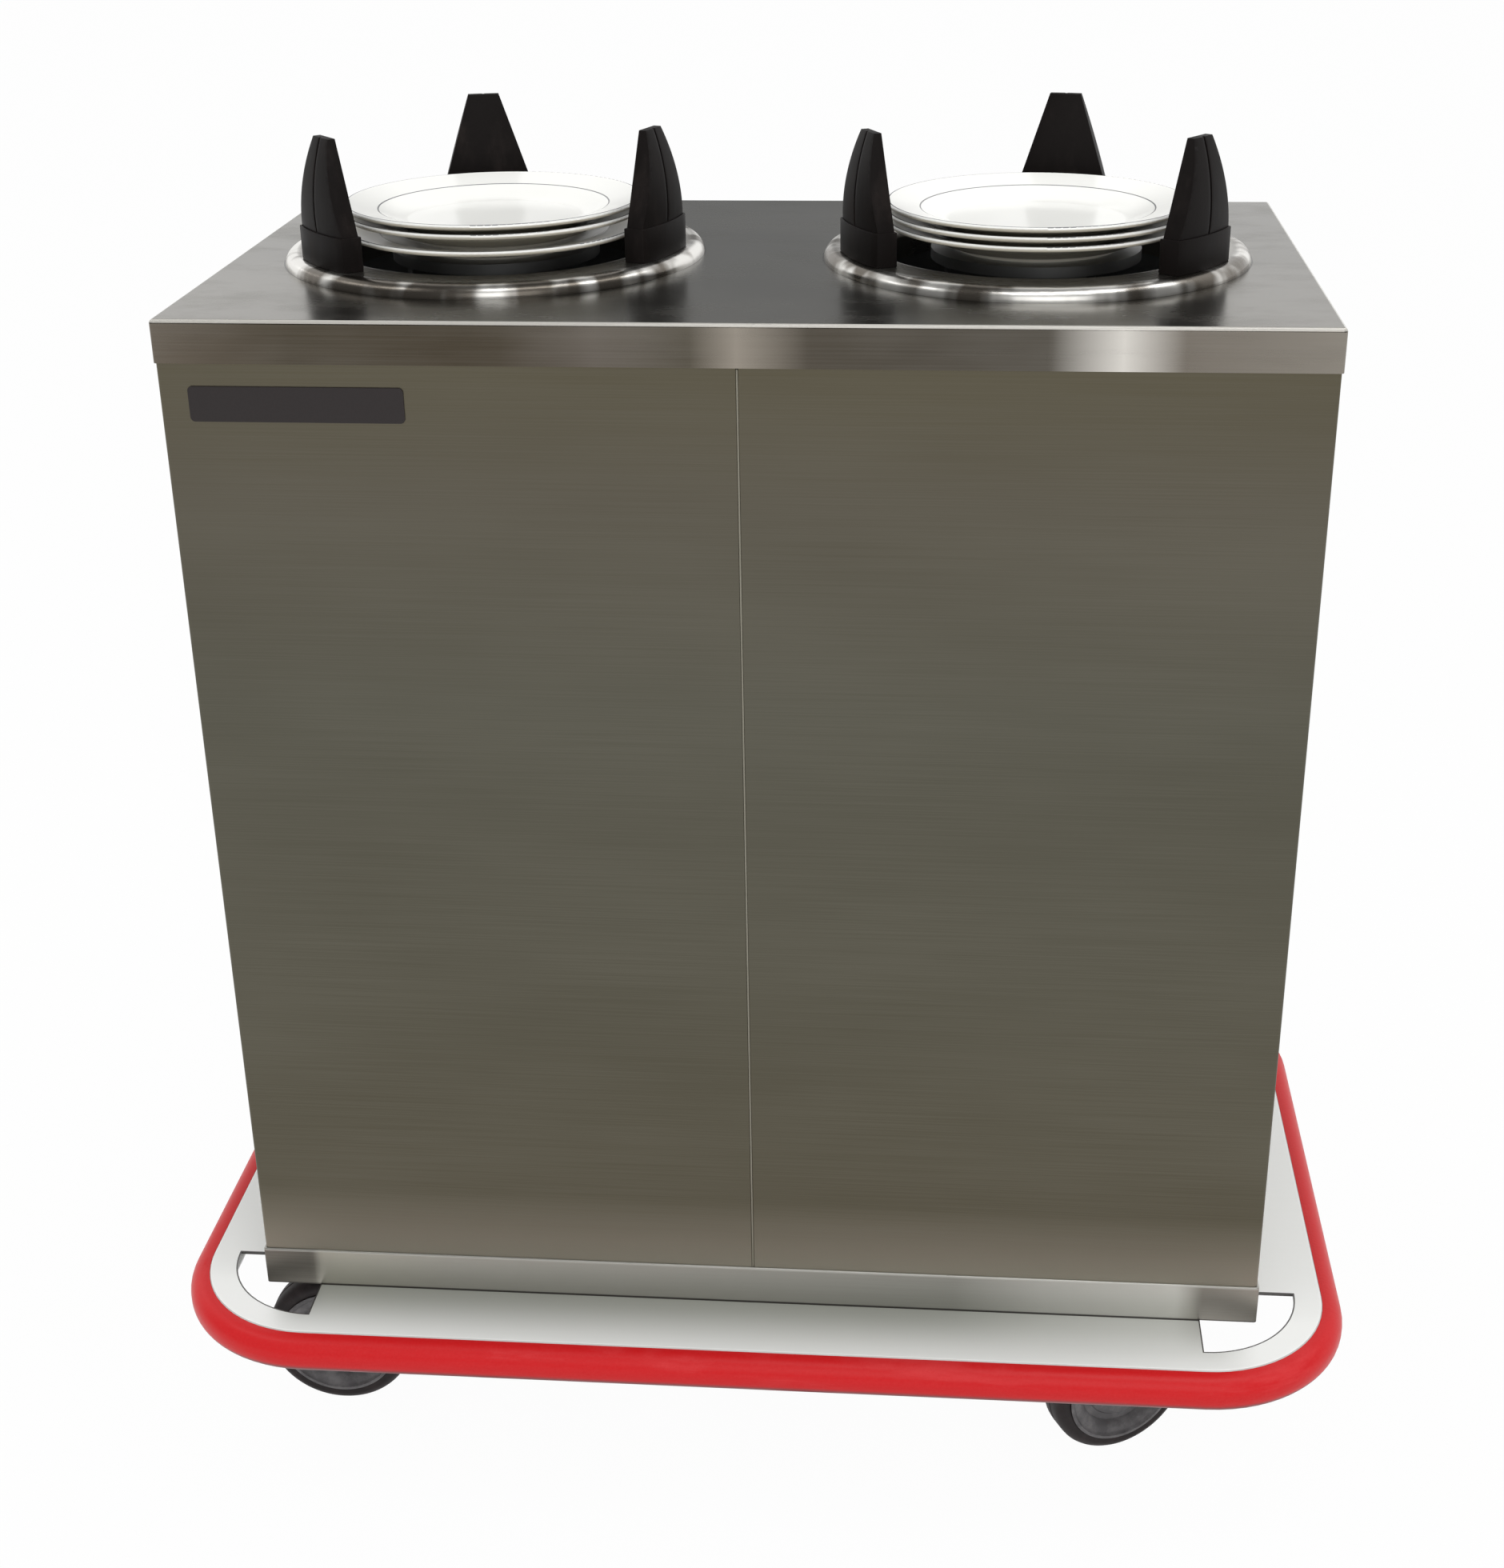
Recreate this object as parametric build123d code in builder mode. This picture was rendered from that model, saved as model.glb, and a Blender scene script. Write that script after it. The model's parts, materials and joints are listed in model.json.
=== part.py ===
from build123d import *
import math
import os

# Heated two-stack plate dispenser on a wheeled base.
# Millimetres. The floor is z = 0, the front faces -Y and the origin is under the middle.

# Casters: wheel, fork and swivel head
wheel_radius = 63.5
tyre_width = 32.0
tyre_shoulder = 9.0
hub_radius = 48.0
hub_rim_width = 28.0
hub_rim_depth = 5.0
hub_web_width = 20.0
hub_boss_radius = 15.0
hub_boss_width = 35.0
axle_radius = 5.0
axle_head_radius = 8.5
axle_head_height = 5.0
caster_lead = 36.0
fork_sheet = 3.0
fork_side_gap = 2.6
fork_top_gap = 10.0
fork_crown_reach = 28.0
fork_eye_radius = 13.0
race_height = 16.2
race_radius = 30.0
race_gap = 0.3
kingpin_radius = 6.0
kingpin_nut_radius = 10.0
kingpin_nut_height = 6.0
caster_plate_sheet = 4.0
caster_plate_length = 92.0
caster_plate_width = 60.0
caster_plate_corner = 5.0
caster_bolt_spacing_x = 44.0
caster_bolt_spacing_y = 66.0
caster_bolt_radius = 4.0
caster_bolt_head_radius = 7.0
caster_bolt_head_height = 4.0
caster_bolt_dome = 2.4
caster_inset_x = 73.15
caster_inset_y = 62.15
front_left_heading = 180.0
front_right_heading = 207.0
back_left_heading = 172.0
back_right_heading = 190.0

# Base deck and its bumper
base_length = 938.8
base_width = 585.0
base_corner_radius = 103.5
base_sheet = 2.5
base_flange = 32.0
base_return = 12.0
base_edge_radius = 2.0
corner_hole_radius = 80.0
bumper_height = 31.0
bumper_depth = 17.0
bumper_drop = 1.0
bumper_roundness = 14.5

# Cabinet
cabinet_height = 818.0
deck_length = 823.0
deck_width = 457.0
deck_lip = 31.0
deck_sheet = 1.2
deck_edge_radius = 3.0
lip_gap = 0.15
shell_sheet = 1.0
shell_corner_radius = 2.5
shell_seam = 1.4
seam_edge_radius = 0.9
seam_return = 12.0
shell_back_return = 120.0
back_seam = 1.0
trim_height = 34.0
trim_sheet = 1.5
trim_gap = 0.1
trim_edge_radius = 1.2
frame_gap = 0.7
frame_leg = 20.0
frame_sheet = 2.5
mullion_width = 40.0
nameplate_length = 154.5
nameplate_height = 25.6
nameplate_thickness = 1.0
nameplate_corner = 3.5
nameplate_edge_radius = 0.3
nameplate_from_edge = 21.0
nameplate_below_deck = 47.2

# Two dispenser units
stack_spacing = 417.6
left_unit_turn = 11.0
right_unit_turn = -7.0
collar_radius = 162.0
collar_height = 9.5
collar_sheet = 1.5
collar_mouth_radius = 118.7
collar_mouth_bend = 7.3
collar_skirt = 14.0
tube_sheet = 1.2
tube_gap = 0.3
tube_flange_radius = 156.0
tube_flange_sheet = 1.5
deck_hole_radius = 149.0
slot_width = 18.0
slot_corner = 3.6
slot_end = 20.0
slot_end_gap = 0.3

# Spring-borne carriers
carrier_top = 8.0
carrier_sheet = 2.0
carrier_radius = 80.0
carrier_hole_radius = 26.5
carrier_rim = 6.0
carrier_travel = 400.0
carrier_drop = 334.0
leg_radius = 69.0
leg_width = 20.0
leg_sheet = 3.0
arm_width = 12.0
arm_sheet = 4.0
spring_radius_on_unit = 138.0
spring_coil_radius = 6.5
spring_coil_wall = 2.2
spring_wire_radius = 1.2
spring_hole_gap = 0.8
spring_button_radius = 4.5
spring_button_height = 2.0
spring_lead = 12.0

# Guide posts: a blade in a boot, angles counted from +X about the unit's axis
left_post_angles = {"back": 103.0, "front_left": 220.0, "front_right": 341.0}
right_post_angles = {"back": 80.0, "front_left": 205.0, "front_right": 324.0}
boot_inner_face = 130.7
boot_outer_radius = 151.0
boot_half_width = 36.0
boot_height = 25.0
boot_wall = 1.6
boot_gap = 0.1
post_height = 92.5
post_top_inner = 134.0
post_top_outer = 140.2
post_top_half_width = 12.3
post_belly = 148.6
post_belly_height = 58.0
post_groove_width = 2.0
post_groove_depth = 1.6

# Dishes
dish_radius = 114.3
dish_rim_height = 22.0
low_dish_rim_height = 16.5
dish_pitch = 7.0
dish_wall = 4.6
dish_shoulder_wall = 4.2
dish_rim_wall = 3.9
dish_foot_radius = 62.0
dish_foot_width = 4.5
dish_floor_radius = 67.0
dish_rim_start = 88.7
dish_rim_start_drop = 6.0
dish_edge_offset = 1.0
dish_edge_radius = 1.7

# Electrics
control_panel_length = 240.0
control_panel_height = 104.0
control_panel_sheet = 1.5
control_panel_lap = 10.0
control_panel_corner = 4.0
cutout_gap = 0.2
control_panel_above_base = 44.0
control_box_depth = 68.0
control_box_sheet = 1.0
control_box_margin = 2.0
switch_x = -84.0
switch_length = 30.0
switch_height = 22.0
switch_bezel = 1.8
switch_wall = 2.0
switch_depth = 24.0
rocker_gap = 0.4
rocker_tilt = 10.0
rocker_crown = 1.2
rocker_heel = 5.0
rocker_pin_radius = 1.25
lamp_x = -46.0
lamp_radius = 6.0
lamp_bezel_radius = 8.0
lamp_dome_height = 4.0
lamp_dome_radius = 3.0
knob_x = 8.0
knob_radius = 19.0
knob_height = 16.0
knob_stand_off = 1.0
knob_skirt = 6.4
knob_flutes = 16
knob_flute_radius = 1.2
knob_grip_length = 32.0
knob_grip_width = 9.5
knob_bore = 12.0
shaft_radius = 3.0
shaft_gap = 0.05
shaft_end_gap = 0.8
thermostat_length = 42.0
thermostat_height = 36.0
thermostat_depth = 26.0
bushing_radius = 5.0
inlet_x = 76.0
inlet_length = 50.0
inlet_height = 28.0
inlet_corner = 4.0
inlet_recess_length = 30.0
inlet_recess_height = 20.0
inlet_recess_corner = 3.0
inlet_wall = 2.0
inlet_floor = 4.5
inlet_flange = 2.5
inlet_depth = 30.0
inlet_pin_spacing = 14.0
inlet_pin_rise = 5.5
inlet_pin_width = 2.0
inlet_pin_height = 5.0
inlet_pin_setback = 4.0
element_radius = 4.0
element_rise = 37.0
element_half_length = 300.0
element_half_width = 60.0
element_bend = 34.0
element_lead_x = 28.0
bracket_sheet = 2.0
bracket_foot = 15.0
bracket_overhang = 14.0
bracket_x_inner = 120.0
bracket_x_outer = 250.0
screw_radius = 2.0
screw_gap = 0.15
screw_head_radius = 4.0
screw_head_height = 2.2
screw_length = 9.0
screw_edge = 12.0
back_screw_rows = 5

# Levels and outlines that follow from the sizes above; hair is a step too small to see,
# and a cut runs past its piece by the overrun
hair = 0.01
overrun = 1.0
axle_height = wheel_radius
fork_crown = 2 * wheel_radius + fork_top_gap
race_bottom = fork_crown + fork_sheet + race_gap
caster_top = race_bottom + race_height + caster_plate_sheet
base_top = caster_top + base_sheet
deck_top = base_top + cabinet_height
deck_underside = deck_top - deck_sheet
shell_top = deck_underside - (deck_edge_radius - deck_sheet)
shell_length = deck_length - 2 * (deck_sheet + lip_gap)
shell_width = deck_width - 2 * (deck_sheet + lip_gap)
caster_spacing_x = shell_length - 2 * caster_inset_x
caster_spacing_y = shell_width - 2 * caster_inset_y
frame_length = shell_length - 2 * (shell_sheet + frame_gap)
frame_width = shell_width - 2 * (shell_sheet + frame_gap)
back_face = shell_width / 2
front_face = -shell_width / 2
back_panel_length = shell_length - 2 * shell_back_return
fork_half_gap = tyre_width / 2 + fork_side_gap
fork_half_width = fork_half_gap + fork_sheet
seat = deck_top + collar_height
unit_x = {"left": -stack_spacing / 2, "right": stack_spacing / 2}
unit_turn = {"left": left_unit_turn, "right": right_unit_turn}
post_angles = {"left": left_post_angles, "right": right_post_angles}
arm_steps = (60.0, 180.0, 300.0)
tube_inner = collar_mouth_radius + collar_sheet + tube_gap
arm_level = deck_top - carrier_drop
slot_bottom = arm_level - arm_sheet - carrier_travel - slot_end_gap
tube_length = deck_top - slot_bottom + slot_end
arm_reach = spring_radius_on_unit + spring_button_radius + spring_button_height
control_middle = base_top + control_panel_above_base + control_panel_height / 2
control_face = back_face + control_panel_sheet
control_cutout_length = control_panel_length - 2 * control_panel_lap
control_cutout_height = control_panel_height - 2 * control_panel_lap
box_front = back_face - control_box_depth
element_level = base_top + element_rise
mullion_x = back_panel_length / 2

os.makedirs("parts", exist_ok=True)


def unit_plane(side, z, turn=0.0):
    """A level plane on one unit's axis, its x direction turned about the axis."""
    angle = math.radians(turn)
    return Plane(origin=(unit_x[side], 0, z), x_dir=(math.cos(angle), math.sin(angle), 0), z_dir=(0, 0, 1))


def upright(level):
    """The upright plane through a level plane's x direction; its y direction is up."""
    return Plane(origin=level.origin, x_dir=level.x_dir, z_dir=-level.y_dir)


def outward(level):
    """The upright plane across a level plane's x direction, facing along it; its y direction is up."""
    return Plane(origin=level.origin, x_dir=level.y_dir, z_dir=level.x_dir)


def back_plane(x, y, z):
    """An upright plane that faces the back, +Y; its y direction is up."""
    return Plane(origin=(x, y, z), x_dir=(-1, 0, 0), z_dir=(0, 1, 0))


# The top deck's underside, as a solid to take out of it
with BuildPart() as deck_hollow:
    with BuildSketch(Plane.XY.offset(deck_top - deck_lip)):
        RectangleRounded(deck_length - 2 * deck_sheet, deck_width - 2 * deck_sheet,
                         deck_edge_radius - deck_sheet)
    extrude(amount=deck_lip - deck_sheet)
    fillet(deck_hollow.faces().sort_by(Axis.Z)[-1].edges(), deck_edge_radius - deck_sheet - hair)

# Top deck: a drawn sheet pan with a turned-down lip and a hole for each unit
with BuildPart() as top_deck:
    with BuildSketch(Plane.XY.offset(deck_top - deck_lip)):
        RectangleRounded(deck_length, deck_width, deck_edge_radius)
    extrude(amount=deck_lip)
    fillet(top_deck.faces().sort_by(Axis.Z)[-1].edges(), deck_edge_radius - hair)
    add(deck_hollow.part, mode=Mode.SUBTRACT)
    with BuildSketch(Plane.XY.offset(deck_top)):
        with Locations(*[(x, 0) for x in unit_x.values()]):
            Circle(deck_hole_radius)
    extrude(amount=-deck_lip, mode=Mode.SUBTRACT)
top_deck.part.label = "top_deck"
export_step(top_deck.part, "parts/top_deck.step")


def shell_ring(level):
    """The cabinet wall's closed outline, one sheet thick."""
    with BuildSketch(Plane.XY.offset(level)) as ring:
        RectangleRounded(shell_length, shell_width, shell_corner_radius)
        RectangleRounded(shell_length - 2 * shell_sheet, shell_width - 2 * shell_sheet,
                         shell_corner_radius - shell_sheet, mode=Mode.SUBTRACT)
    return ring.sketch


# Cabinet shells: each wraps half of the front, one end and a strip of the back;
# at the front seam each folds inwards, between the frame's two rings
for side, sign in (("left", -1), ("right", 1)):
    with BuildPart() as shell:
        with BuildSketch(Plane.XY.offset(base_top)):
            add(shell_ring(0))
            with Locations((-sign * (shell_length - shell_seam) / 2, 0)):
                Rectangle(shell_length, 2 * shell_width, mode=Mode.SUBTRACT)
            with Locations((0, shell_width / 2)):
                Rectangle(back_panel_length, shell_width, mode=Mode.SUBTRACT)
        extrude(amount=shell_top - base_top)
        with BuildSketch(Plane.XY.offset(base_top + frame_leg + frame_gap)):
            with Locations((sign * (shell_seam + shell_sheet) / 2, front_face + seam_return / 2)):
                Rectangle(shell_sheet, seam_return)
        extrude(amount=deck_underside - base_top - 2 * (frame_leg + frame_gap))
        seam_edges = shell.edges().filter_by(Axis.Z).filter_by_position(
            Axis.Y, front_face - hair, front_face + hair).sort_by(Axis.X)
        fillet(seam_edges[-1] if sign < 0 else seam_edges[0], seam_edge_radius)
    name = f"{side}_shell"
    shell.part.label = name
    export_step(shell.part, f"parts/{name}.step")

# Where the back panel's and the control panel's screws go, as (x, z)
screw_zs = [base_top + trim_height + screw_edge
            + (cabinet_height - trim_height - deck_lip - 2 * screw_edge) * row / (back_screw_rows - 1)
            for row in range(back_screw_rows)]
back_screws = [(sign * (mullion_x - back_seam - screw_edge), z) for sign in (-1, 1) for z in screw_zs]
control_screws = [(x, control_middle + z)
                  for x in (-control_panel_length / 2 + control_panel_lap / 2,
                            control_panel_length / 2 - control_panel_lap / 2)
                  for z in (-control_panel_height / 2 + control_panel_lap / 2,
                            control_panel_height / 2 - control_panel_lap / 2)]

# Back service panel, screwed to the frame's two mullions
with BuildPart() as back_panel:
    with BuildSketch(back_plane(0, back_face, 0)):
        with Locations((0, (base_top + shell_top) / 2)):
            Rectangle(back_panel_length - 2 * back_seam, shell_top - base_top)
        with Locations((0, control_middle)):
            Rectangle(control_cutout_length, control_cutout_height, mode=Mode.SUBTRACT)
        with Locations(*[(-x, z) for x, z in back_screws + control_screws]):
            Circle(screw_radius + screw_gap, mode=Mode.SUBTRACT)
    extrude(amount=-shell_sheet)
back_panel.part.label = "back_panel"
export_step(back_panel.part, "parts/back_panel.step")

# Foot trim: a folded band round the cabinet's foot
with BuildPart() as bottom_trim:
    trim_length = shell_length + 2 * (trim_gap + trim_sheet)
    trim_width = shell_width + 2 * (trim_gap + trim_sheet)
    with BuildSketch(Plane.XY.offset(base_top)):
        RectangleRounded(trim_length, trim_width, shell_corner_radius + trim_gap)
        RectangleRounded(trim_length - 2 * trim_sheet, trim_width - 2 * trim_sheet, shell_corner_radius,
                         mode=Mode.SUBTRACT)
    extrude(amount=trim_height)
    trim_top = bottom_trim.faces().sort_by(Axis.Z)[-1]
    fillet(trim_top.outer_wire().edges(), trim_edge_radius)
bottom_trim.part.label = "bottom_trim"
export_step(bottom_trim.part, "parts/bottom_trim.step")

# Cabinet frame: angle iron rings top and bottom, four corner angles and two back mullions
with BuildPart() as cabinet_frame:
    for level, direction in ((base_top, 1), (deck_underside, -1)):
        for depth, width in ((frame_sheet, frame_leg), (frame_leg, frame_sheet)):
            with BuildSketch(Plane.XY.offset(level)):
                Rectangle(frame_length, frame_width)
                Rectangle(frame_length - 2 * width, frame_width - 2 * width, mode=Mode.SUBTRACT)
            extrude(amount=direction * depth)
    with BuildSketch(Plane.XY.offset(base_top)):
        for x_sign in (-1, 1):
            for y_sign in (-1, 1):
                corner_x = x_sign * frame_length / 2
                corner_y = y_sign * frame_width / 2
                with Locations((corner_x - x_sign * frame_leg / 2, corner_y - y_sign * frame_sheet / 2)):
                    Rectangle(frame_leg, frame_sheet)
                with Locations((corner_x - x_sign * frame_sheet / 2, corner_y - y_sign * frame_leg / 2)):
                    Rectangle(frame_sheet, frame_leg)
        for x_sign in (-1, 1):
            with Locations((x_sign * mullion_x, (frame_width - frame_sheet) / 2)):
                Rectangle(mullion_width, frame_sheet)
    extrude(amount=deck_underside - base_top)
    with BuildSketch(back_plane(0, back_face, 0)):
        with Locations(*[(-x, z) for x, z in back_screws]):
            Circle(screw_radius + screw_gap)
    extrude(amount=-frame_leg, mode=Mode.SUBTRACT)
cabinet_frame.part.label = "cabinet_frame"
export_step(cabinet_frame.part, "parts/cabinet_frame.step")

# Bare nameplate on the front, upper left
with BuildPart() as nameplate:
    plate_x = -shell_length / 2 + nameplate_from_edge + nameplate_length / 2
    plate_z = deck_top - nameplate_below_deck - nameplate_height / 2
    with BuildSketch(Plane.XZ.offset(-front_face)):
        with Locations((plate_x, plate_z)):
            RectangleRounded(nameplate_length, nameplate_height, nameplate_corner)
    extrude(amount=nameplate_thickness)
    fillet(nameplate.faces().sort_by(Axis.Y)[0].edges(), nameplate_edge_radius)
nameplate.part.label = "nameplate"
export_step(nameplate.part, "parts/nameplate.step")

# Caster places: pivot and the way each wheel trails
caster_places = {
    "front_left": (-caster_spacing_x / 2, -caster_spacing_y / 2, front_left_heading),
    "front_right": (caster_spacing_x / 2, -caster_spacing_y / 2, front_right_heading),
    "back_left": (-caster_spacing_x / 2, caster_spacing_y / 2, back_left_heading),
    "back_right": (caster_spacing_x / 2, caster_spacing_y / 2, back_right_heading),
}
caster_bolts_at = [(px + bx * caster_bolt_spacing_x / 2, py + by * caster_bolt_spacing_y / 2)
                   for px, py, _ in caster_places.values() for bx in (-1, 1) for by in (-1, 1)]
corner_hole_x = base_length / 2 - base_corner_radius
corner_hole_y = base_width / 2 - base_corner_radius

# Base deck: an upside-down pan with a returned flange and a quarter-round hole at each corner
with BuildPart() as base_deck:
    with BuildSketch(Plane.XY.offset(base_top - base_flange)):
        RectangleRounded(base_length, base_width, base_corner_radius)
    extrude(amount=base_flange)
    fillet(base_deck.faces().sort_by(Axis.Z)[-1].edges(), base_edge_radius)
    with BuildSketch(Plane.XY.offset(base_top - base_flange + base_sheet)):
        RectangleRounded(base_length - 2 * base_sheet, base_width - 2 * base_sheet,
                         base_corner_radius - base_sheet)
    extrude(amount=base_flange - 2 * base_sheet, mode=Mode.SUBTRACT)
    with BuildSketch(Plane.XY.offset(base_top - base_flange)):
        RectangleRounded(base_length - 2 * base_return, base_width - 2 * base_return,
                         base_corner_radius - base_return)
    extrude(amount=base_sheet, mode=Mode.SUBTRACT)
    for x_sign in (-1, 1):
        for y_sign in (-1, 1):
            with BuildSketch(Plane.XY.offset(base_top)):
                with Locations((x_sign * corner_hole_x, y_sign * corner_hole_y)):
                    Circle(corner_hole_radius)
                with Locations((x_sign * (corner_hole_x + corner_hole_radius / 2),
                                y_sign * (corner_hole_y + corner_hole_radius / 2))):
                    Rectangle(corner_hole_radius, corner_hole_radius, mode=Mode.INTERSECT)
            extrude(amount=-2 * base_sheet, mode=Mode.SUBTRACT)
    with BuildSketch(Plane.XY.offset(base_top)):
        with Locations(*caster_bolts_at):
            Circle(caster_bolt_radius + screw_gap)
    extrude(amount=-2 * base_sheet, mode=Mode.SUBTRACT)
base_deck.part.label = "base_deck"
export_step(base_deck.part, "parts/base_deck.step")

# Bumper: one vinyl loop round the base deck's flange
with BuildPart() as bumper:
    with BuildSketch(Plane.XY.offset(base_top - bumper_drop - bumper_height)):
        RectangleRounded(base_length + 2 * bumper_depth, base_width + 2 * bumper_depth,
                         base_corner_radius + bumper_depth)
        RectangleRounded(base_length, base_width, base_corner_radius, mode=Mode.SUBTRACT)
    extrude(amount=bumper_height)
    bumper_edges = [face.outer_wire().edges()
                    for face in (bumper.faces().sort_by(Axis.Z)[0], bumper.faces().sort_by(Axis.Z)[-1])]
    fillet(bumper_edges[0] + bumper_edges[1], bumper_roundness)
bumper.part.label = "bumper"
export_step(bumper.part, "parts/bumper.step")

# Dispenser units: tube, collar, springs and carrier
for side in unit_x:
    axis = Axis((unit_x[side], 0, 0), (0, 0, 1))
    arm_turns = [unit_turn[side] + step for step in arm_steps]
    spring_points = [(spring_radius_on_unit * math.cos(math.radians(turn)),
                      spring_radius_on_unit * math.sin(math.radians(turn))) for turn in arm_turns]

    # Tube: hangs by its flange in the deck's hole, slotted for the carrier's three arms
    with BuildPart() as tube:
        with BuildSketch(upright(unit_plane(side, deck_top))):
            with BuildLine():
                Polyline((tube_inner, tube_flange_sheet), (tube_flange_radius, tube_flange_sheet),
                         (tube_flange_radius, 0), (tube_inner + tube_sheet, 0),
                         (tube_inner + tube_sheet, -tube_length), (tube_inner, -tube_length), close=True)
            make_face()
        revolve(axis=axis)
        slot_top = arm_level + slot_end_gap
        for turn in arm_turns:
            with BuildSketch(outward(unit_plane(side, (slot_top + slot_bottom) / 2, turn))):
                RectangleRounded(slot_width, slot_top - slot_bottom, slot_corner)
            extrude(amount=tube_inner + 2 * tube_sheet, mode=Mode.SUBTRACT)
        with BuildSketch(unit_plane(side, deck_top)):
            with Locations(*spring_points):
                Circle(spring_wire_radius + spring_hole_gap)
        extrude(amount=tube_flange_sheet, mode=Mode.SUBTRACT)
    name = f"{side}_tube"
    tube.part.label = name
    export_step(tube.part, f"parts/{name}.step")

    # Collar: a spun ring that caps the tube's flange and lines its mouth
    bead = collar_height - collar_sheet
    bend = collar_mouth_bend - collar_sheet
    bead_centre = collar_radius - collar_height
    bend_centre = (collar_mouth_radius + collar_mouth_bend, collar_height - collar_mouth_bend)
    with BuildPart() as collar:
        with BuildSketch(upright(unit_plane(side, deck_top))):
            with BuildLine():
                Line((collar_radius - collar_sheet, 0), (collar_radius, 0))
                CenterArc((bead_centre, 0), collar_height, 0, 90)
                Line((bead_centre, collar_height), (bend_centre[0], collar_height))
                CenterArc(bend_centre, collar_mouth_bend, 90, 90)
                Polyline((collar_mouth_radius, bend_centre[1]), (collar_mouth_radius, -collar_skirt),
                         (collar_mouth_radius + collar_sheet, -collar_skirt),
                         (collar_mouth_radius + collar_sheet, bend_centre[1]))
                CenterArc(bend_centre, bend, 180, -90)
                Line((bend_centre[0], bead), (bead_centre, bead))
                CenterArc((bead_centre, 0), bead, 90, -90)
            make_face()
        revolve(axis=axis)
    name = f"{side}_collar"
    collar.part.label = name
    export_step(collar.part, f"parts/{name}.step")

    # Carrier: a round table with a hoop under its edge, three legs, and a spider plate
    # whose arms go out through the tube's slots; welded face to face
    table_underside = deck_top + carrier_top - carrier_sheet
    with BuildPart() as table:
        with BuildSketch(unit_plane(side, table_underside)):
            Circle(carrier_radius)
            Circle(carrier_hole_radius, mode=Mode.SUBTRACT)
        extrude(amount=carrier_sheet)
    with BuildPart() as hoop:
        with BuildSketch(unit_plane(side, table_underside)):
            Circle(carrier_radius)
            Circle(carrier_radius - carrier_sheet, mode=Mode.SUBTRACT)
        extrude(amount=-carrier_rim)
    with BuildPart() as spider:
        with BuildSketch(unit_plane(side, arm_level)):
            Circle(leg_radius)
            with PolarLocations(0, len(arm_turns), unit_turn[side] + arm_steps[0]):
                with Locations((arm_reach / 2, 0)):
                    Rectangle(arm_reach, arm_width)
            Circle(leg_radius - leg_width, mode=Mode.SUBTRACT)
            with Locations(*spring_points):
                Circle(spring_wire_radius + spring_hole_gap, mode=Mode.SUBTRACT)
        extrude(amount=-arm_sheet)
    carrier_parts = [table.part, hoop.part, spider.part]
    for turn in arm_turns:
        with BuildPart() as leg:
            with BuildSketch(unit_plane(side, arm_level, turn)):
                with Locations((leg_radius - leg_sheet / 2, 0)):
                    Rectangle(leg_sheet, leg_width)
            extrude(amount=table_underside - arm_level)
        carrier_parts.append(leg.part)
    name = f"{side}_carrier"
    carrier = Compound(label=name, children=carrier_parts)
    export_step(carrier, f"parts/{name}.step")

    # Extension springs: three per unit, buttoned into the tube's flange and the carrier's arms
    button_top = deck_top + tube_flange_sheet
    arm_underside = arm_level - arm_sheet
    with BuildPart() as springs:
        with BuildSketch(unit_plane(side, arm_underside - spring_button_height)):
            with Locations(*spring_points):
                Circle(spring_button_radius)
        extrude(amount=spring_button_height)
        with BuildSketch(unit_plane(side, button_top)):
            with Locations(*spring_points):
                Circle(spring_button_radius)
        extrude(amount=spring_button_height)
        with BuildSketch(unit_plane(side, arm_underside)):
            with Locations(*spring_points):
                Circle(spring_wire_radius)
        extrude(amount=button_top - arm_underside)
        with BuildSketch(unit_plane(side, arm_level + spring_lead)):
            with Locations(*spring_points):
                Circle(spring_coil_radius)
        extrude(amount=deck_top - spring_lead - arm_level - spring_lead)
        with BuildSketch(unit_plane(side, arm_level + spring_lead + spring_coil_wall)):
            with Locations(*spring_points):
                Circle(spring_coil_radius - spring_coil_wall)
                Circle(spring_wire_radius, mode=Mode.SUBTRACT)
        extrude(amount=deck_top - arm_level - 2 * spring_lead - 2 * spring_coil_wall, mode=Mode.SUBTRACT)
    name = f"{side}_springs"
    springs.part.label = name
    export_step(springs.part, f"parts/{name}.step")


def boot_outline(level, shrink):
    """The boot's plan: flat towards the dishes, round on the collar's outer side."""
    with BuildSketch(level) as outline:
        Circle(boot_outer_radius - shrink)
        with Locations(((boot_inner_face + shrink + boot_outer_radius) / 2, 0)):
            Rectangle(boot_outer_radius - boot_inner_face - shrink, 2 * (boot_half_width - shrink),
                      mode=Mode.INTERSECT)
    return outline.sketch


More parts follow.
